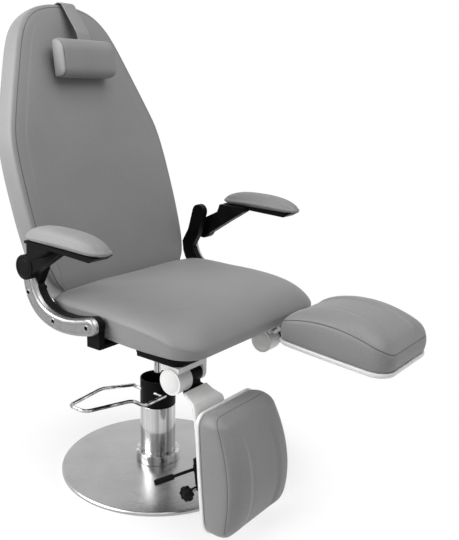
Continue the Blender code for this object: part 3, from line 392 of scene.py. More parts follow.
def cut(loop, splits, counts):
    """Runs of a closed loop between numbered points, each spaced evenly."""
    sides = []
    for start, end, count in zip(splits, splits[1:] + splits[:1], counts):
        if end <= start:
            end += len(loop)
        sides.append(resample([loop[k % len(loop)] for k in range(start, end + 1)], count))
    return sides


def four_sides(corners, radii, n, m):
    """Front, right, rear and left side of a rounded quadrilateral, split at the middle of each corner."""
    steps = 16
    splits = [i * (steps + 1) + steps // 2 for i in range(4)]
    return cut(fillet(corners, radii, steps), splits, (n, m, n, m))


def borders(ring, n, m):
    """Front, right, rear and left border of a grid of n by m, out of the closed ring round it."""
    ring = np.concatenate([ring, ring[:1]])
    return ring[:n + 1], ring[n:n + m + 1], ring[n + m:2 * n + m + 1][::-1], ring[2 * n + m:][::-1]


def coons(ring, n, m):
    """A grid of points filled in from the closed ring round it."""
    front, right, rear, left = borders(ring, n, m)
    u = np.linspace(0.0, 1.0, n + 1)[:, None, None]
    v = np.linspace(0.0, 1.0, m + 1)[None, :, None]
    return ((1 - v) * front[:, None] + v * rear[:, None] + (1 - u) * left + u * right
            - (1 - u) * (1 - v) * front[0] - u * (1 - v) * front[-1]
            - (1 - u) * v * rear[0] - u * v * rear[-1])


class Cushion:
    """A closed padded form: rows of points from its top to its bottom, closed by two grids."""

    def __init__(self, name, rows, n, m, top, bottom, view):
        around = 2 * (n + m)
        points = [tuple(p) for row in rows for p in row]
        self.rows = [list(range(k * around, (k + 1) * around)) for k in range(len(rows))]
        faces = bands(self.rows)
        self.fill(points, faces, self.rows[0], n, m, top)
        self.bottom = self.fill(points, faces, self.rows[-1], n, m, bottom)
        self.mesh = mesh_of(name, [view @ Vector(p) for p in points], faces)

    @staticmethod
    def fill(points, faces, row, n, m, height):
        """Close one side of the form with a grid."""
        grid = coons(np.array([points[k][:2] for k in row]), n, m)
        index = np.zeros((n + 1, m + 1), int)
        index[:, 0], index[n], index[:, m], index[0] = borders(row, n, m)
        inner = []
        for i in range(1, n):
            for j in range(1, m):
                x, y = grid[i, j]
                index[i, j] = len(points)
                inner.append(len(points))
                points.append((x, y, height(x, y, 2 * i / n - 1, 2 * j / m - 1)))
        for i in range(n):
            for j in range(m):
                faces.append((index[i, j], index[i + 1, j], index[i + 1, j + 1], index[i, j + 1]))
        return inner

    def held(self, *row_numbers):
        """Points that stay where they are: the bottom and the named rows."""
        return self.bottom + [k for number in row_numbers for k in self.rows[number]]


def rimmed(name, sides, rim, low, edge, crown, view, under=None, spread=None):
    """A cushion whose rim is given as rows of (inset, share of its height)."""
    n, m = len(sides[0]) - 1, len(sides[1]) - 1
    loop = np.vstack([side[:-1] for side in sides])
    inside = loop_insides(loop)

    def between(x, y, share):
        return low(x, y) + share * (edge(x, y) - low(x, y))

    def height_at(share, extra):
        return lambda x, y, a, b: between(x, y, share) + (extra(a, b) if extra else 0.0)

    rows = []
    for inset, share in rim:
        row = []
        for (x, y), (ix, iy) in zip(loop, inside):
            reach = inset * (spread(y) if spread else 1.0)
            px, py = x + ix * reach, y + iy * reach
            row.append((px, py, between(px, py, share)))
        rows.append(row)
    return Cushion(name, rows, n, m, height_at(rim[0][1], crown), height_at(rim[-1][1], under), view)


FRAMES = 16
SMOOTH_STEPS = 14
TINY = 1e-9
CLOTH = {
    "quality": 4, "mass": 0.3, "use_pressure": True, "vertex_group_mass": "held", "bending_stiffness": 0.6,
    "tension_stiffness": 18.0, "compression_stiffness": 18.0, "shear_stiffness": 8.0,
}


def smoothed(move, mesh, held):
    """Even out how far each point has swollen, so that no creases are left; held points stay."""
    edges = np.empty(2 * len(mesh.edges), dtype=np.int32)
    mesh.edges.foreach_get("vertices", edges)
    first, second = edges.reshape(-1, 2).T
    count = np.bincount(edges, minlength=len(move))[:, None]
    for step in range(SMOOTH_STEPS):
        total = np.zeros_like(move)
        np.add.at(total, first, move[second])
        np.add.at(total, second, move[first])
        move = total / count
        move[list(held)] = 0.0
    return move


def inflate(obj, held, pressure, cap):
    """Let air pressure swell a padded form as cloth, held at its seams, by no more than a cap."""
    scene = bpy.context.scene
    group = obj.vertex_groups.new(name="held")
    group.add(sorted(set(int(k) for k in held)), 1.0, "REPLACE")
    start = np.array([v.co for v in obj.data.vertices])
    cloth = obj.modifiers.new("cloth", "CLOTH")
    settings = cloth.settings
    for key, value in CLOTH.items():
        setattr(settings, key, value)
    settings.uniform_pressure_force = pressure
    settings.effector_weights.gravity = 0.0
    cloth.collision_settings.use_collision = False
    cloth.point_cache.frame_start = 1
    cloth.point_cache.frame_end = FRAMES
    for number in range(1, FRAMES + 1):
        scene.frame_set(number)
    graph = bpy.context.evaluated_depsgraph_get()
    swollen = obj.evaluated_get(graph)
    end = np.array([v.co for v in swollen.data.vertices])
    move = smoothed(end - start, obj.data, held)
    length = np.linalg.norm(move, axis=1)
    limit = cap * np.tanh(length / cap) / np.maximum(length, TINY)
    final = start + move * limit[:, None]
    obj.modifiers.remove(cloth)
    obj.vertex_groups.remove(group)
    obj.data.vertices.foreach_set("co", final.astype(np.float32).ravel())
    obj.data.update()
    scene.frame_set(1)


def padded_piece(cushion, body, node, held, pressure, cap):
    made = piece(cushion.mesh, body, "grey_leatherette", [node], ALL_SMOOTH)
    inflate(made, held, pressure, cap)
    finer = made.modifiers.new("finer", "SUBSURF")
    finer.levels = 1
    finer.render_levels = 1
    return made


# the cords of painted groove shade: how far they sink into the seam, and their radii
SEAM_SINK, SEAM_RADIUS, FINE_SEAM_RADIUS = 0.0001, 0.0014, 0.0011


def seam_shade_cord(name, owner, row, body, radius=SEAM_RADIUS):
    """A dark cord that lies in a seam's groove: its dark colour is painted shade of the groove."""
    points = [owner.data.vertices[k] for k in row]
    path = [p.co - p.normal * SEAM_SINK for p in points]
    piece(closed_cord(name, path, radius), body, "grey_leatherette", (), ALL_SMOOTH, SEAM_SHADE)


def ease(value):
    """A soft step from 0 to 1."""
    value = min(1.0, max(0.0, value))
    return value * value * (3 - 2 * value)


def axes(origin, x, y, z):
    """A view from its origin and three directions."""
    return Matrix.Translation(Vector(origin)) @ Matrix((x, y, z)).transposed().to_4x4()


def mm(*rows):
    """Rows of millimetres in metres."""
    return [tuple(value / 1000 for value in row) for row in rows]


def mirrored(place, side):
    """A place given for the left side, on either side."""
    return Vector((side * place[0], place[1], place[2]))


# Seat cushion

SEAT_FRONT, SEAT_REAR = -0.368, 0.1145
SEAT_FRONT_HALF, SEAT_REAR_HALF = 0.294, 0.296
SEAT_NARROWING = 1.7
SEAT_TOP, SEAT_CROWN, SEAT_CROWN_HALF = 0.588, 0.008, 0.28
SEAT_FALL_FROM, SEAT_FALL_RUN, SEAT_FALL, SEAT_NOSE = -0.03, 0.338, 0.012, 0.024
SEAT_HEEL_FROM, SEAT_HEEL = 0.01, 0.7
SEAT_ROUND = 0.028
SEAT_MORE, SEAT_MORE_FROM, SEAT_MORE_RUN = 0.01, -0.18, 0.17
SEAT_LESS, SEAT_LESS_FROM, SEAT_LESS_RUN = 0.012, 0.04, 0.07
SEAT_BULGE_AT, SEAT_BULGE_HALF, SEAT_BULGE = -0.205, 0.165, 0.036
SEAT_HEM, SEAT_LOW, SEAT_TUCK = 0.4957, 0.4994, 0.021
SEAT_NET = (76, 66)
# shares of the way over the rounded edge, then (inset, share of the height) down the side and under the hem
SEAT_EDGE = (0, 0.16, 0.31, 0.45, 0.58, 0.7, 0.8, 0.88, 0.94, 0.98, 0.996, 1)
SEAT_SIDE = ((0.0, 0.82), (0.0, 0.64), (0.0, 0.46), (0.001, 0.3), (0.0034, 0.16), (0.0072, 0.055),
             (0.0115, 0.0), (0.0165, 0.0))


def seat_top(x, y):
    """The top's height before its edges are rounded: crowned across, falling to the front and behind."""
    front = max(0.0, SEAT_FALL_FROM - y) / SEAT_FALL_RUN
    rear = max(0.0, y - SEAT_HEEL_FROM)
    crown = SEAT_CROWN * (1 - (x / SEAT_CROWN_HALF)**4)
    return SEAT_TOP + crown - SEAT_FALL * front**2 - SEAT_NOSE * front**5 - SEAT_HEEL * rear**2


def seat_drop(y):
    """How far the rounding of the edge goes down: more in front, less behind."""
    more = SEAT_MORE * ease((SEAT_MORE_FROM - y) / SEAT_MORE_RUN)
    return SEAT_ROUND + more - SEAT_LESS * ease((y - SEAT_LESS_FROM) / SEAT_LESS_RUN)


def seat_quad(side, front, rear, radii):
    """The seat's outline, drawn in at its sides, front and rear; the sides more so towards the front."""
    near, far = SEAT_FRONT + front, SEAT_REAR - rear
    near_half, far_half = SEAT_FRONT_HALF - SEAT_NARROWING * side, SEAT_REAR_HALF - side
    corners = [(-near_half, near), (near_half, near), (far_half, far), (-far_half, far)]
    sides = four_sides(corners, [radii[0], radii[0], radii[1], radii[1]], *SEAT_NET)
    loop = np.vstack([run[:-1] for run in sides])
    bulge = np.clip(1 - ((loop[:, 1] - SEAT_BULGE_AT) / SEAT_BULGE_HALF)**2, 0.0, 1.0)**2
    loop[:, 0] *= 1 + SEAT_BULGE * bulge
    return loop


def seat_rows():
    """Rows of the seat from its top grid over the rounded edge to the hem round its board."""
    outer = seat_quad(side=0.0, front=0.0, rear=0.0, radii=(0.07, 0.009))
    inner = seat_quad(side=0.042, front=0.092, rear=0.024, radii=(0.1, 0.024))
    rows = []
    for q in SEAT_EDGE:
        line = inner + (outer - inner) * q
        fall = 0.5 * q**3 + 0.5 * (1 - sqrt(1 - q * q))
        rows.append([(x, y, seat_top(x, y) - seat_drop(oy) * fall) for (x, y), (ox, oy) in zip(line, outer)])
    rim = list(zip(rows[-1], loop_insides(outer)))
    for inset, share in SEAT_SIDE:
        rows.append([(x + ix * inset, y + iy * inset, SEAT_HEM + share * (z - SEAT_HEM))
                     for (x, y, z), (ix, iy) in rim])
    rows.append([(x + ix * SEAT_TUCK, y + iy * SEAT_TUCK, SEAT_LOW) for (x, y, z), (ix, iy) in rim])
    return rows


seat_form = Cushion("seat_upholstery", seat_rows(), *SEAT_NET, lambda x, y, a, b: seat_top(x, y),
                    lambda x, y, a, b: SEAT_LOW, Matrix.Identity(4))
padded_piece(seat_form, "seat", "seat_cushion", seat_form.held(-1, -2, -3),
             pressure=1.4, cap=0.004)

# Backrest cushion

TILT = radians(18.5)
ACROSS = Vector((1, 0, 0))
BACK_UP = Vector((0.0, sin(TILT), cos(TILT)))
BACK_OUT = Vector((0.0, -cos(TILT), sin(TILT)))
BACK_AT = Vector((0.0, 0.126, 0.599))
BACK_VIEW = axes(BACK_AT, ACROSS, BACK_UP, BACK_OUT)
# places along the backrest with half its width there, and its lower and upper end
BACK_OUTLINE = [(-0.024, 0.25), (0.004, 0.272), (0.055, 0.288), (0.13, 0.296), (0.21, 0.2995), (0.33, 0.299),
                (0.42, 0.29), (0.5, 0.264), (0.6, 0.226), (0.69, 0.19), (0.745, 0.157), (0.782, 0.112),
                (0.8, 0.054)]
BACK_BOTTOM = [(-0.238, -0.0385), (-0.115, -0.0408), (0.0, -0.0412), (0.115, -0.0408), (0.238, -0.0385)]
BACK_TOP = (0.0, 0.8035)
# the point of the outline at which its side ends and its top begins
BACK_SHOULDER = 10
BACK_NET = (62, 106)
BACK_LOW, BACK_EDGE, BACK_CROWN = -0.07, -0.004, 0.003
# the rim's insets are halved at the lower end and grow to their full size over this run
BACK_FULL_FROM, BACK_FULL_RUN = -0.03, 0.06
# from the face over the seam and the side to a hem that goes round the edge of the board
BACK_RIM = [(0.04, 1.0), (0.03, 0.995), (0.022, 0.986), (0.0165, 0.974), (0.0135, 0.962), (0.0138, 0.95),
            (0.011, 0.94), (0.007, 0.915), (0.0035, 0.875), (0.0012, 0.81), (0.0, 0.7), (-0.0012, 0.52),
            (-0.0016, 0.34), (-0.0014, 0.16), (-0.0006, 0.02), (0.001, -0.075), (0.004, -0.125),
            (0.0085, -0.14), (0.015, -0.14), (0.0215, -0.115), (0.024, -0.06), (0.0245, 0.0)]
BACK_SEAM = 5


def loop_sides(points, splits, counts):
    """Four sides of a smooth closed loop, split at numbered points."""
    line = np.asarray(points, float)
    per = 10
    dense = []
    for i in range(len(line)):
        p0, p1, p2, p3 = (line[(i + k) % len(line)] for k in (-1, 0, 1, 2))
        for k in range(per):
            t = k / per
            dense.append(0.5 * (2 * p1 + (p2 - p0) * t + (2 * p0 - 5 * p1 + 4 * p2 - p3) * t * t
                                + (3 * p1 - p0 - 3 * p2 + p3) * t**3))
    return cut(dense, [split * per for split in splits], counts)


def back_sides():
    """Bottom, right, top and left side of the backrest's outline."""
    right = [(half, s) for s, half in BACK_OUTLINE]
    left = [(-half, s) for half, s in reversed(right)]
    first_right = len(BACK_BOTTOM)
    last_left = first_right + 2 * len(right)
    splits = [last_left, first_right, first_right + BACK_SHOULDER, last_left - BACK_SHOULDER]
    return loop_sides(BACK_BOTTOM + right + [BACK_TOP] + left, splits, BACK_NET * 2)


back_form = rimmed("backrest_upholstery", back_sides(), BACK_RIM,
                   lambda x, s: BACK_LOW, lambda x, s: BACK_EDGE,
                   lambda a, b: BACK_CROWN * (1 - a * a) * (1 - b**4), BACK_VIEW,
                   spread=lambda s: 0.5 + 0.5 * ease((s - BACK_FULL_FROM) / BACK_FULL_RUN))
back_pad = padded_piece(back_form, "backrest", "backrest_cushion", back_form.held(-1, -2, -3, -4, BACK_SEAM),
                        pressure=2.0, cap=0.0018)
seam_shade_cord("backrest_seam_shade", back_pad, back_form.rows[BACK_SEAM], "backrest")

# Head pillow and strap

PILLOW_LEAN = radians(11.0)
PILLOW_UP = BACK_UP * cos(PILLOW_LEAN) + BACK_OUT * sin(PILLOW_LEAN)
PILLOW_OUT = BACK_OUT * cos(PILLOW_LEAN) - BACK_UP * sin(PILLOW_LEAN)
PILLOW_ALONG, PILLOW_OFF = 0.572, 0.0045
PILLOW_AT = BACK_AT + BACK_UP * PILLOW_ALONG + BACK_OUT * PILLOW_OFF
PILLOW_VIEW = axes(PILLOW_AT, PILLOW_UP, PILLOW_OUT, ACROSS)
PILLOW_TALL, PILLOW_DEEP = 0.108, 0.051
PILLOW_RIGHT, PILLOW_LEFT = -0.105, 0.099
PILLOW_CROWN, PILLOW_RADII, PILLOW_NET = 0.003, [0.01, 0.014, 0.036, 0.022], (22, 14)
PILLOW_END = [(0.01, 0.0), (0.0045, 0.006), (0.0016, 0.016), (0.0024, 0.024), (0.0006, 0.032)]
PILLOW_RIM = ([(inset, 1 - share) for inset, share in PILLOW_END]
              + [(-0.0006, 0.95 - 0.05 * k) for k in range(19)] + PILLOW_END[::-1])
PILLOW_SEAMS = {"left": 3, "right": -4}


def pillow_crown(a, b):
    """How far the end of the pillow stands out at its middle."""
    return PILLOW_CROWN * (1 - a * a) * (1 - b * b)


pillow_sides = four_sides([(0.0, 0.0), (PILLOW_TALL, 0.0), (PILLOW_TALL, PILLOW_DEEP), (0.0, PILLOW_DEEP)],
                          PILLOW_RADII, *PILLOW_NET)
pillow_form = rimmed("pillow_upholstery", pillow_sides, PILLOW_RIM, lambda s, r: PILLOW_RIGHT,
                     lambda s, r: PILLOW_LEFT, pillow_crown, PILLOW_VIEW, lambda a, b: -pillow_crown(a, b))
pillow_held = [k for row in pillow_form.rows for k in row[:PILLOW_NET[0]]]
for number in PILLOW_SEAMS.values():
    pillow_held += pillow_form.rows[number]
pillow = padded_piece(pillow_form, "head", "head_pillow", pillow_held, pressure=3.0, cap=0.003)
for word, number in PILLOW_SEAMS.items():
    seam_shade_cord(f"pillow_seam_shade_{word}", pillow, pillow_form.rows[number], "head", FINE_SEAM_RADIUS)

STRAP_WIDTH, STRAP_THICK, STRAP_ROUND, STRAP_MID = 0.05, 0.0026, 0.00117, 0.014
# (height above the backrest's face line, place along the backrest), with the radius of each bend
STRAP_ROUTE = [(0.042, 0.612), (0.039, 0.697), (0.004, 0.7985), (-0.01, 0.8075), (-0.055, 0.807),
               (-0.083, 0.792), (-0.083, 0.58)]
STRAP_BENDS = [0.0, 0.04, 0.016, 0.02, 0.03, 0.03, 0.0]
STRAP_STEPS = 120


def strap_mesh():
    """A woven band from behind the pillow over the top and down the back, with rounded edges."""
    route = resample(fillet(STRAP_ROUTE, STRAP_BENDS, 8), STRAP_STEPS)
    half, thin = STRAP_WIDTH / 2, STRAP_THICK / 2
    section = fillet([(-half, -thin), (half, -thin), (half, thin), (-half, thin)], [STRAP_ROUND] * 4, 3)
    points = []
    for (rise, s), (left_rise, left_s) in zip(route, left_of(np.gradient(route, axis=0))):
        for x, h in section:
            points.append(BACK_VIEW @ Vector((STRAP_MID + x, s + left_s * h, rise + left_rise * h)))
    length = float(np.sum(np.linalg.norm(np.diff(route, axis=0), axis=1)))
    return stack("head_strap_band", points, len(section)), length


strap_band, STRAP_LENGTH = strap_mesh()
strap = piece(strap_band, "backrest", "strap_webbing", ["head_strap"], 60)

# Arm pads and leg pads

SIDES = ((-1, "right"), (1, "left"))
ARM_AT = (0.401, -0.077, 0.7517)
ARM_RISE = atan2(0.0085, 0.276)
ARM_HALF, ARM_HALF_LENGTH, ARM_SIDE_POWER, ARM_END_POWER = 0.038, 0.139, 0.74, 0.72
# half the length over which the heights of the pad are drawn
ARM_REACH = 0.136
ARM_NET = (16, 44)
ARM_RIM = [(0.004, 1.0), (0.002, 0.9), (0.0007, 0.76), (0.0, 0.58), (0.0003, 0.4), (0.0014, 0.22),
           (0.0032, 0.08), (0.006, 0.0)]
ARM_EDGE, ARM_EDGE_FALL, ARM_CROWN = 0.0185, 0.0055, 0.0265
ARM_END_LIFT, ARM_SIDE_LIFT, ARM_SIDE_FROM, ARM_SIDE_RUN = 0.003, 0.0085, 0.02, 0.016


def arm_loop(n, m):
    """Lens-shaped outline of an arm pad, split at its four corners."""
    sides = []
    steps = 60
    for start, count in ((225, n), (315, m), (45, n), (135, m)):
        run = []
        for k in range(steps + 1):
            turn = radians(start + 90 * k / steps)
            c, s = cos(turn), sin(turn)
            run.append((ARM_HALF * copysign(abs(c)**ARM_SIDE_POWER, c),
                        ARM_HALF_LENGTH * copysign(abs(s)**ARM_END_POWER, s)))
        sides.append(resample(run, count))
    return sides


def arm_low(x, d):
    """The pad's lower edge: level on its base, higher along the sides and at the ends."""
    share = min(1.0, abs(d) / ARM_REACH)
    lift = ARM_SIDE_LIFT * ease((abs(x) - ARM_SIDE_FROM) / ARM_SIDE_RUN)
    return ARM_END_LIFT * share**4 + lift * (1 - share**2)


def arm_edge(x, d):
    """The height at which the pad's crown begins, lower towards the ends."""
    return ARM_EDGE - ARM_EDGE_FALL * (d / ARM_REACH)**2


def arm_crown(a, b):
    """How far the pad stands above its edge."""
    return ARM_CROWN * ((1 - a * a)**0.72) * ((1 - abs(b)**3.0)**0.7)


def arm_pad(side, word):
    """The upholstered pad of one armrest."""
    view = axes(mirrored(ARM_AT, side), ACROSS, Vector((0, cos(ARM_RISE), sin(ARM_RISE))),
                Vector((0, -sin(ARM_RISE), cos(ARM_RISE))))
    form = rimmed(f"arm_upholstery_{word}", arm_loop(*ARM_NET), ARM_RIM, arm_low, arm_edge, arm_crown, view)
    padded_piece(form, f"arm_{word}", f"arm_pad_{word}", form.held(-1, -2),
                 pressure=2.0, cap=0.0015)


LEG_HINGE = (0.197, -0.27, 0.419)
# how far each leg rest hangs down from level, and how far its pad has moved out
LEG_ANGLE = {-1: radians(82.9), 1: radians(3.8)}
LEG_PUSH = {-1: 0.0, 1: 0.05}
PAD_START, PAD_LENGTH, PAD_LOW = 0.073, 0.312, 0.08
PAD_HALF, PAD_KNEE, PAD_SHIFT = 0.13, 0.014, 0.062
PAD_RADII = [0.03, 0.03, 0.048, 0.048]
PAD_HIGH, PAD_ARCH, PAD_FACE, PAD_PANEL, PAD_CREASE = 0.056, 0.036, 0.012, 0.005, 0.003
PAD_END, PAD_END_LIFT, PAD_END_FALL = 0.026, 0.002, 0.006
PAD_NET = (44, 52)
PAD_RIM = [(0.015, 1.0), (0.01, 0.968), (0.006, 0.93), (0.0032, 0.89), (0.0018, 0.858), (0.003, 0.836),
           (0.0008, 0.812), (-0.001, 0.74), (-0.0022, 0.61), (-0.0026, 0.47), (-0.0022, 0.32),
           (-0.0014, 0.17), (0.0, 0.06), (0.0026, 0.0)]
PAD_SEAM = 5
# across the pad's face, as shares of half its width
PANEL_HALF, PANEL_RUN, CREASE_AT, CREASE_WIDE = 0.54, 0.22, 0.43, 0.055


def pad_end(d):
    """1 at the two ends of a leg pad, 0 away from them."""
    return ease((PAD_END - min(d - PAD_START, PAD_START + PAD_LENGTH - d)) / PAD_END)


def pad_low(x, d):
    """The pad's underside lifts slightly at its two ends."""
    return PAD_LOW + PAD_END_LIFT * pad_end(d)


def pad_edge(x, d):
    """The seam line arches along the leg."""
    share = (d - PAD_START) / PAD_LENGTH
    return PAD_LOW + PAD_HIGH - PAD_END_FALL * pad_end(d) + PAD_ARCH * (1 - (2 * share - 1)**2)


def pad_face(a, b):
    """Full face with a lower centre panel between two sewn creases."""
    full = PAD_FACE * (1 - a**4) * (1 - b**6)
    panel = -PAD_PANEL * ease((PANEL_HALF - abs(a)) / PANEL_RUN)
    crease = -PAD_CREASE * exp(-((abs(a) - CREASE_AT) / CREASE_WIDE)**2)
    return full + (panel + crease) * (1 - abs(b)**9)


def leg_axes(side):
    """Directions out along a leg rest and up from it."""
    angle = LEG_ANGLE[side]
    return Vector((0, -cos(angle), -sin(angle))), Vector((0, -sin(angle), cos(angle)))


def leg_view(side):
    """The frame of one leg rest's pad and shell: across to the right hand, out along the leg, up from it."""
    out, up = leg_axes(side)
    slide = axes(mirrored(LEG_HINGE, side) + out * LEG_PUSH[side], -ACROSS, out, up)
    return slide @ Matrix.Translation((side * PAD_SHIFT, 0, 0))


def pad_sides():
    """Outline of a leg pad, narrower towards the knee."""
    near, far = PAD_START, PAD_START + PAD_LENGTH
    corners = [(-PAD_HALF, near), (PAD_HALF, near), (PAD_HALF, far), (-PAD_HALF, far)]
    sides = four_sides(corners, PAD_RADII, *PAD_NET)
    for run in sides:
        share = (run[:, 1] - PAD_START) / PAD_LENGTH
        run[:, 0] *= 1 - PAD_KNEE / PAD_HALF * (1 - share)**2
    return sides


def leg_pad(side, word):
    """The upholstered pad of one leg rest."""
    body = f"leg_slide_{word}"
    form = rimmed(f"leg_upholstery_{word}", pad_sides(), PAD_RIM, pad_low, pad_edge, pad_face, leg_view(side))
    made = padded_piece(form, body, f"leg_pad_{word}", form.held(-1, -2, PAD_SEAM),
                        pressure=2.5, cap=0.003)
    seam_shade_cord(f"leg_pad_seam_shade_{word}", made, form.rows[PAD_SEAM], body)


for side, word in SIDES:
    arm_pad(side, word)
    leg_pad(side, word)

# Foot and column, turned finely

def turned(steps, *corners):
    """A profile out of corners in millimetres: radius, height and the rounding of the corner."""
    corners = mm(*corners)
    return fillet([corner[:2] for corner in corners], [corner[2] for corner in corners], steps)


# radii in millimetres
FOOT_R, COLLAR_R, PIPE_R, PIPE_BORE = 290, 66, 53, 49
FOOT_PROFILE = turned(6, (57.5, 22, 0.3), (74, 22, 30), (286, 10, 4), (FOOT_R, 6.2, 3), (FOOT_R, 0.4, 0.5),
                      (288, 0.4, 0.5), (288, 5.5, 1), (285, 8, 2), (74, 20, 20), (57.5, 20, 0.3))
COLLAR_PROFILE = turned(5, (53.5, 50.3, 0.4), (COLLAR_R, 50.3, 1.4), (COLLAR_R, 45.5, 0.2), (65.3, 45, 0.2),
                        (65.3, 44, 0.2), (COLLAR_R, 43.5, 0.2), (COLLAR_R, 22.3, 0.6), (53.5, 22.3, 0.4))
PIPE_PROFILE = turned(4, (PIPE_R, 199, 0.8), (PIPE_R, 22.4, 0.8), (PIPE_BORE, 22.4, 0.8),
                      (PIPE_BORE, 199, 0.8))
SLEEVE_PROFILE = turned(4, (PIPE_R, 281.3, 1.4), (PIPE_R, 206, 0.2), (52.5, 205.5, 0.2), (52.5, 204.5, 0.2),
                        (PIPE_R, 204, 0.2), (PIPE_R, 199.3, 0.8), (PIPE_BORE, 199.3, 0.8),
                        (PIPE_BORE, 281.3, 1.4))
for name, profile, steps, slot, node, look in (
        ("foot_disc", FOOT_PROFILE, 192, "brushed_steel", "base_cover", SPUN),
        ("collar_ring", COLLAR_PROFILE, 160, "chrome", "column_collar", CHROME_PAINTED_REFLECTIONS),
        ("column_pipe", PIPE_PROFILE, 160, "chrome", "column_tube", CHROME_PAINTED_REFLECTIONS),
        ("pump_sleeve", SLEEVE_PROFILE, 160, "black_plastic", "column_sleeve", BLACK_PLASTIC)):
    piece(lathe(name, profile, steps), "base", slot, [node], 30, look)

# Screws and caps

SCREW_STEPS = 24
# radius and height of a screw's head as shares, from its foot over its edge into its six-sided recess
SCREW_ROWS = ((1.0, 0.0, False), (1.0, 0.65, False), (0.93, 0.9, False), (0.82, 1.0, False),
              (0.56, 1.0, True), (0.52, 0.25, True))
CAP_SINK = -0.0006


def facing(place, direction):
    """A view whose Z axis points in a direction."""
    turn = Vector(direction).to_track_quat("Z", "Y").to_matrix().to_4x4()
    return Matrix.Translation(Vector(place)) @ turn


def screw(name, place, direction, radius, body, height):
    """A black socket-head screw."""
    view = facing(place, direction)
    points = []
    for wide, tall, six in SCREW_ROWS:
        for turn in turns(SCREW_STEPS):
            part = (turn + pi / 6) % (pi / 3) - pi / 6
            reach = radius * wide * (cos(pi / 6) / cos(part) if six else 1.0)
            points.append(view @ Vector((*polar(reach, turn), height * tall)))
    piece(stack(name, points, SCREW_STEPS), body, "black_steel", (), 35)


def cap(name, place, direction, rows, body, slot, look=None):
    """A shallow turned cap laid on a face: rows of (radius, height) from its middle to its edge."""
    profile = [(0.0, rows[0][1])] + rows + [(rows[-1][0], CAP_SINK), (0.0, CAP_SINK)]
    piece(lathe(name, profile, 64, facing(place, direction)), body, slot, (), 30, look)


# Armrest brackets and arms

def bezier(p0, p1, p2, p3, count):
    """Points along a cubic curve."""
    a, b, c, d = np.array([p0, p1, p2, p3])
    t = np.linspace(0.0, 1.0, count + 1)[:, None]
    return a * (1 - t)**3 + b * 3 * t * (1 - t)**2 + c * 3 * t * t * (1 - t) + d * t**3


COVER_LOW, COVER_T = 0.3303, 0.016
COVER_HALF, COVER_HALF_INSIDE = 0.023, 0.0196
# the share of the line by which the band has narrowed, the one from which its end narrows, and how far
COVER_NARROW_BY, COVER_END_FROM, COVER_END = 0.25, 0.9, 0.45
COVER_ROUND_STEPS = 18
COVER_LINE = np.vstack([bezier((-0.081, 0.5395), (0.035, 0.5075), (0.135, 0.5255), (0.148, 0.6175), 40),
                        [(0.1488, 0.623), (0.1493, 0.6285), (0.1496, 0.634), (0.1496, 0.6395)]])
# inset and depth below the cover's face
COVER_EDGE = mm((12.5, 0), (12, 1.2), (10.8, 1.2), (10.3, 0), (7.5, 0), (4.5, 1), (2, 3.2), (0.5, 6.8),
                (0, 10))
COVER_ROWS = [(inset, COVER_T - depth) for inset, depth in COVER_EDGE] + [(0.0, 0.0)]
COVER_SCREWS = ((0.149, 0.588), (0.052, 0.528), (-0.074, 0.537))
SOCKET_ROWS = mm((5.6, 0.2), (6, 0.6), (6.8, 0.6), (7.6, 0.1))
POST_SCREW, ARM_HUB, ARM_SOCKET = (0.308, 0.1225, 0.6), (0.38, 0.118, 0.667), (0.402, 0.0485, 0.728)
HUB_DRUM = mm((0, 1.2), (20, 1.2), (21.4, 0.3), (24.6, 0.3), (26, 1.4), (30.8, 1.4), (32.2, 0.6), (32.8, -1),
              (32.8, -26.2), (31.8, -27.6), (0, -27.6))


def cover_outline():
    """Outline of the cover along its line: narrower inside its bend and at its end, round at its start."""
    line = COVER_LINE
    left = left_of(np.gradient(line, axis=0))
    share = np.linspace(0.0, 1.0, len(line))
    reach = COVER_HALF + (COVER_HALF_INSIDE - COVER_HALF) * np.clip(share / COVER_NARROW_BY, 0.0, 1.0)
    reach *= 1 - COVER_END * np.clip((share - COVER_END_FROM) / (1 - COVER_END_FROM), 0.0, 1.0)**2
    outline = [tuple(p) for p in line + left * reach[:, None]]
    outline += [tuple(p) for p in (line - left * COVER_HALF)[::-1]]
    start = atan2(-left[0, 1], -left[0, 0])
    for k in range(1, COVER_ROUND_STEPS):
        turn = start - pi * k / COVER_ROUND_STEPS
        outline.append(tuple(line[0] + polar(COVER_HALF, turn)))
    return outline


def bracket_plate(side, word):
    """The bracket's bright cover with its polished edge and its screws."""
    outward = Vector((side, 0, 0))
    outline = cover_outline()
    view = axes(outward * COVER_LOW, Vector((0, 1, 0)), Vector((0, 0, 1)), outward)
    made = piece(plate(f"bracket_plate_{word}", outline, COVER_ROWS, view), "seat", "cast_aluminium",
                 [f"bracket_cover_{word}"], 28)
    made.data.materials.append(POLISHED)
    count = len(outline)
    for face in made.data.polygons[count:(len(COVER_ROWS) - 1) * count]:
        face.material_index = 1
    for number, (y, z) in enumerate(COVER_SCREWS):
        place = (side * (COVER_LOW + COVER_T), y, z)
        cap(f"cover_socket_{word}_{number}", place, outward, SOCKET_ROWS, "seat", "cast_aluminium", POLISHED)
        screw(f"cover_screw_{word}_{number}", place, outward, 0.0056, "seat", 0.0008)


def arm_fittings(side, word):
    """The screw of the post, and the hub's drum and the screw of the arm."""
    body = f"arm_{word}"
    screw(f"post_screw_{word}", mirrored(POST_SCREW, side), (-side, 0, 0), 0.0042, "seat", 0.0016)
    drum = lathe(f"arm_hub_cap_{word}", HUB_DRUM, 72, facing(mirrored(ARM_HUB, side), (side, 0, 0)))
    piece(drum, body, "black_plastic", (), 30)
    screw(f"arm_socket_{word}", mirrored(ARM_SOCKET, side), (0, 1, 0), 0.007, body, 0.002)


for side, word in SIDES:
    bracket_plate(side, word)
    arm_fittings(side, word)

# Leg rests

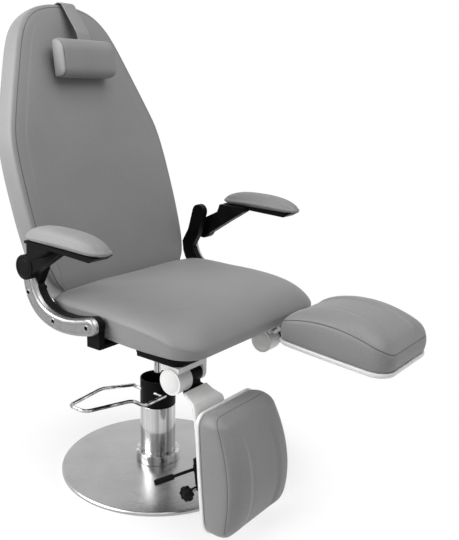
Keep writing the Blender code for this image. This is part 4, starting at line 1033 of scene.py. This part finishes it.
SHELL_LIP = 0.0022
SHELL_ROWS = mm((4, 79.7), (1.4, 79.4), (0.4, 78.4), (0, 76.8), (0, 73), (1, 69.8), (3.6, 67.2), (8.5, 66))
KNOB_STEPS, KNOB_LOBES, KNOB_ROOT, KNOB_LOBE = 96, 8, 0.0164, 0.0032
KNOB_ROWS = mm((5.2, 15.2), (4.6, 16), (3, 16), (1.2, 15.2), (0.2, 13.6), (0, 11.8), (0, 5), (0.4, 3),
               (1.8, 1.2), (5, 0))
KNOB_CAP = mm((3, 2.6), (5.8, 2), (7.6, 0.8), (8.2, 0))
YOKE_CAP = mm((6, 4.6), (13, 4.2), (19, 3.2), (24, 1.7), (27.2, 0.2))
BLOCK_FRONT, BLOCK_WIDER, BLOCK_RADII = -0.3, 0.003, [0.04, 0.04, 0.004, 0.004]
# (inset, height) of the block's edges from its top, and from its underside
BLOCK_TOP = mm((3, 0), (0.8, -0.8), (0, -3))
BLOCK_UNDER = mm((0, 13), (1.6, 11.8), (1.6, 5), (2.4, 2), (5, 0.4))
BOLT_CAP = mm((2.6, 3), (4, 2.6), (4.8, 1.4), (5, 0))
BOLT_SHIFT, BOLT_DOWN = 0.02, 0.008


def leg_tray(side, word):
    """The white shell under one leg pad."""
    loop = np.vstack([run[:-1] for run in pad_sides()])
    loop = loop - loop_insides(loop) * SHELL_LIP
    tray = plate(f"leg_tray_{word}", loop, SHELL_ROWS, leg_view(side))
    piece(tray, f"leg_slide_{word}", "white_enamel", [f"leg_shell_{word}"], 50)


def star_knob(side, word):
    """The lobed clamping knob of one leg rest with its cap."""
    body = f"knob_{word}"
    low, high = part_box(f"leg_knob_{word}")
    middle = (Vector(low) + Vector(high)) / 2
    inner = low[0] if side > 0 else high[0]
    star = []
    for turn in turns(KNOB_STEPS):
        lobe = 0.5 + 0.5 * cos(KNOB_LOBES * turn)
        radius = KNOB_ROOT + KNOB_LOBE * lobe**0.7
        star.append(polar(radius, turn))
    view = axes((inner, middle.y, middle.z), *leg_axes(side), Vector((side, 0, 0)))
    piece(plate(f"star_knob_{word}", star, KNOB_ROWS, view), body, "black_plastic", [f"leg_knob_{word}"])
    face = (inner + side * KNOB_ROWS[0][1], middle.y, middle.z)
    cap(f"knob_cap_{word}", face, (side, 0, 0), KNOB_CAP, body, "black_steel")


def yoke_cap(word):
    """The domed white cap on a yoke's cheek on the sitter's right, at the leg rest's hinge."""
    low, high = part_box(f"leg_yoke_{word}")
    face = (low[0], *LEG_HINGE[1:])
    cap(f"yoke_cap_{word}", face, (-1, 0, 0), YOKE_CAP, f"leg_spread_{word}", "white_enamel")


def block_body(word):
    """The black block that carries one leg rest, rounded in front, with two bolts."""
    low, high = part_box(f"leg_block_{word}")
    left, right = low[0] - BLOCK_WIDER, high[0] + BLOCK_WIDER
    corners = [(left, BLOCK_FRONT), (right, BLOCK_FRONT), (right, high[1]), (left, high[1])]
    outline = fillet(corners, BLOCK_RADII, 10)
    rows = ([(inset, high[2] + height) for inset, height in BLOCK_TOP]
            + [(inset, low[2] + height) for inset, height in BLOCK_UNDER])
    block = plate(f"block_body_{word}", outline, rows, Matrix.Identity(4))
    piece(block, "seat", "black_steel", [f"leg_block_{word}"], 35)
    middle = (low[0] + high[0]) / 2
    for number, shift in enumerate((-BOLT_SHIFT, BOLT_SHIFT)):
        cap(f"block_bolt_{word}_{number}", (middle + shift, BLOCK_FRONT, high[2] - BOLT_DOWN), (0, -1, 0),
            BOLT_CAP, "seat", "brushed_steel")


for side, word in SIDES:
    leg_tray(side, word)
    star_knob(side, word)
    yoke_cap(word)
    block_body(word)

# Solids that keep their CAD form: rounded edges and a surface each

WELD_GAP = 0.00002
EDGE, EDGE_ANGLE = 0.0011, radians(38)
SOFT_EDGE, NECK_ANGLE = 0.0026, radians(60)


def dress(name, obj):
    """Round a solid's edges and give it its surface."""
    slot_name = obj.material_slots[0].material.name if obj.material_slots else ""
    look = next((SLOT_LOOK[key] for key in SLOT_LOOK if slot_name.startswith(key)), BLACK_STEEL)
    if name.startswith("arm_pivot_bolt"):
        look = BLACK_STEEL
    for slot in obj.material_slots:
        slot.link = "OBJECT"
        slot.material = look
    obj.modifiers.new("weld", "WELD").merge_threshold = WELD_GAP
    neck = name.startswith("leg_neck")
    soft = neck or name.startswith("leg_yoke")
    edges = obj.modifiers.new("edges", "BEVEL")
    edges.width = SOFT_EDGE if soft else EDGE
    edges.segments = 3 if soft else 2
    edges.limit_method = "ANGLE"
    edges.angle_limit = NECK_ANGLE if neck else EDGE_ANGLE
    edges.harden_normals = not neck
    if neck:
        bent = obj.modifiers.new("bent", "SUBSURF")
        bent.levels = 2
        bent.render_levels = 2


for node_name, node_object in NODES.items():
    dress(node_name, node_object)

# Light, floor and camera

def soft_light(name, place, aim, size, power):
    """A square area light pointed at a place."""
    data = bpy.data.lights.new(name, "AREA")
    data.shape = "RECTANGLE"
    data.size = data.size_y = size
    data.energy = power
    lamp = placed(name, data)
    lamp.location = place
    lamp.rotation_euler = (Vector(aim) - Vector(place)).to_track_quat("-Z", "Y").to_euler()


soft_light("key_light", (-2.0, 1.1, 1.9), aim=(0, 0, 0.7), size=1.6, power=90.0)
soft_light("top_light", (0.1, -1.2, 3.2), aim=(0, 0, 0.5), size=2.6, power=70.0)
soft_light("front_light", (0.6, -3.4, 1.5), aim=(0, 0, 0.7), size=2.4, power=6.0)

WHITE_LIGHT, BACKDROP_LIGHT = (1.0, 1.0, 1.0, 1.0), 0.28
FLOOR_HALF, FLOOR_DOWN = 6.0, 0.0005
# the floor turns white between two distances from the middle of the foot, from a least share of white
FLOOR_FADE_FROM, FLOOR_FADE_TO, FLOOR_LEAST_WHITE = 0.28, 0.56, 0.42


def camera_mix(tree, lit, shown, most=None):
    """Show a second shader, or a share of it, to rays from the camera, off shine and through glass."""
    path = add(tree, "ShaderNodeLightPath")
    share = path.outputs["Is Camera Ray"]
    steps = [("MAXIMUM", path.outputs["Is Glossy Ray"]), ("MAXIMUM", path.outputs["Is Transmission Ray"])]
    if most:
        steps.append(("MULTIPLY", most))
    for operation, other in steps:
        node = add(tree, "ShaderNodeMath", operation=operation)
        join(share, node.inputs[0])
        join(other, node.inputs[1])
        share = node.outputs[0]
    mix = add(tree, "ShaderNodeMixShader")
    for value, socket in zip((share, lit.outputs[0], shown.outputs[0]), mix.inputs):
        join(value, socket)
    return mix.outputs[0]


def make_world():
    """A white surround that lights the chair less than it shows."""
    world = bpy.data.worlds.new("studio")
    bpy.context.scene.world = world
    world.use_nodes = True
    tree = world.node_tree
    shown = give(tree.nodes["Background"], Color=WHITE_LIGHT, Strength=1.0)
    lit = add(tree, "ShaderNodeBackground", Color=WHITE_LIGHT, Strength=BACKDROP_LIGHT)
    join(camera_mix(tree, lit, shown), tree.nodes["World Output"].inputs["Surface"])


def make_floor():
    """A pale floor that takes the chair's shadow and runs out into white."""
    bm = bmesh.new()
    bmesh.ops.create_grid(bm, x_segments=8, y_segments=8, size=FLOOR_HALF)
    mesh = bpy.data.meshes.new("studio_floor")
    bm.to_mesh(mesh)
    bm.free()
    made, shader = new_material("floor_white", grey(0.93), 0.9)
    tree = made.node_tree
    length = add(tree, "ShaderNodeVectorMath", operation="LENGTH")
    join(place_of(shader), length.inputs[0])
    fade = add(tree, "ShaderNodeMapRange", interpolation_type="SMOOTHSTEP", From_Min=FLOOR_FADE_FROM,
               From_Max=FLOOR_FADE_TO, To_Min=FLOOR_LEAST_WHITE)
    join(length.outputs["Value"], fade.inputs["Value"])
    glow = add(tree, "ShaderNodeEmission", Color=WHITE_LIGHT, Strength=1.0)
    mix = camera_mix(tree, shader, glow, fade.outputs["Result"])
    join(mix, tree.nodes["Material Output"].inputs["Surface"])
    mesh.materials.append(made)
    floor = placed("studio_floor", mesh)
    floor.location.z = -FLOOR_DOWN


# from the fit of the solids to the photo: yaw, pitch and roll in radians, sensor and lens in mm
CAMERA_AT, CAMERA_TURNS = (-1.481, -1.344, 1.1155), (-0.886, 0.233, 0.012)
CAMERA_SENSOR, CAMERA_LENS, CAMERA_SHIFT = 36.0, 47.733, (0.06524, -0.01983)


def make_camera():
    """The camera at the photo's angle."""
    yaw, pitch, roll = CAMERA_TURNS
    right = Vector((cos(yaw), sin(yaw), 0.0))
    back = Vector((sin(yaw) * cos(pitch), -cos(yaw) * cos(pitch), sin(pitch)))
    up = back.cross(right)
    across = right * cos(roll) + up * sin(roll)
    upward = up * cos(roll) - right * sin(roll)
    data = bpy.data.cameras.new("photo_camera")
    data.sensor_width = CAMERA_SENSOR
    data.lens = CAMERA_LENS
    data.shift_x, data.shift_y = CAMERA_SHIFT
    camera = placed("photo_camera", data)
    camera.matrix_world = axes(CAMERA_AT, across, upward, back)
    bpy.context.scene.camera = camera


make_world()
make_floor()
make_camera()
bpy.context.scene.view_settings.view_transform = "Standard"
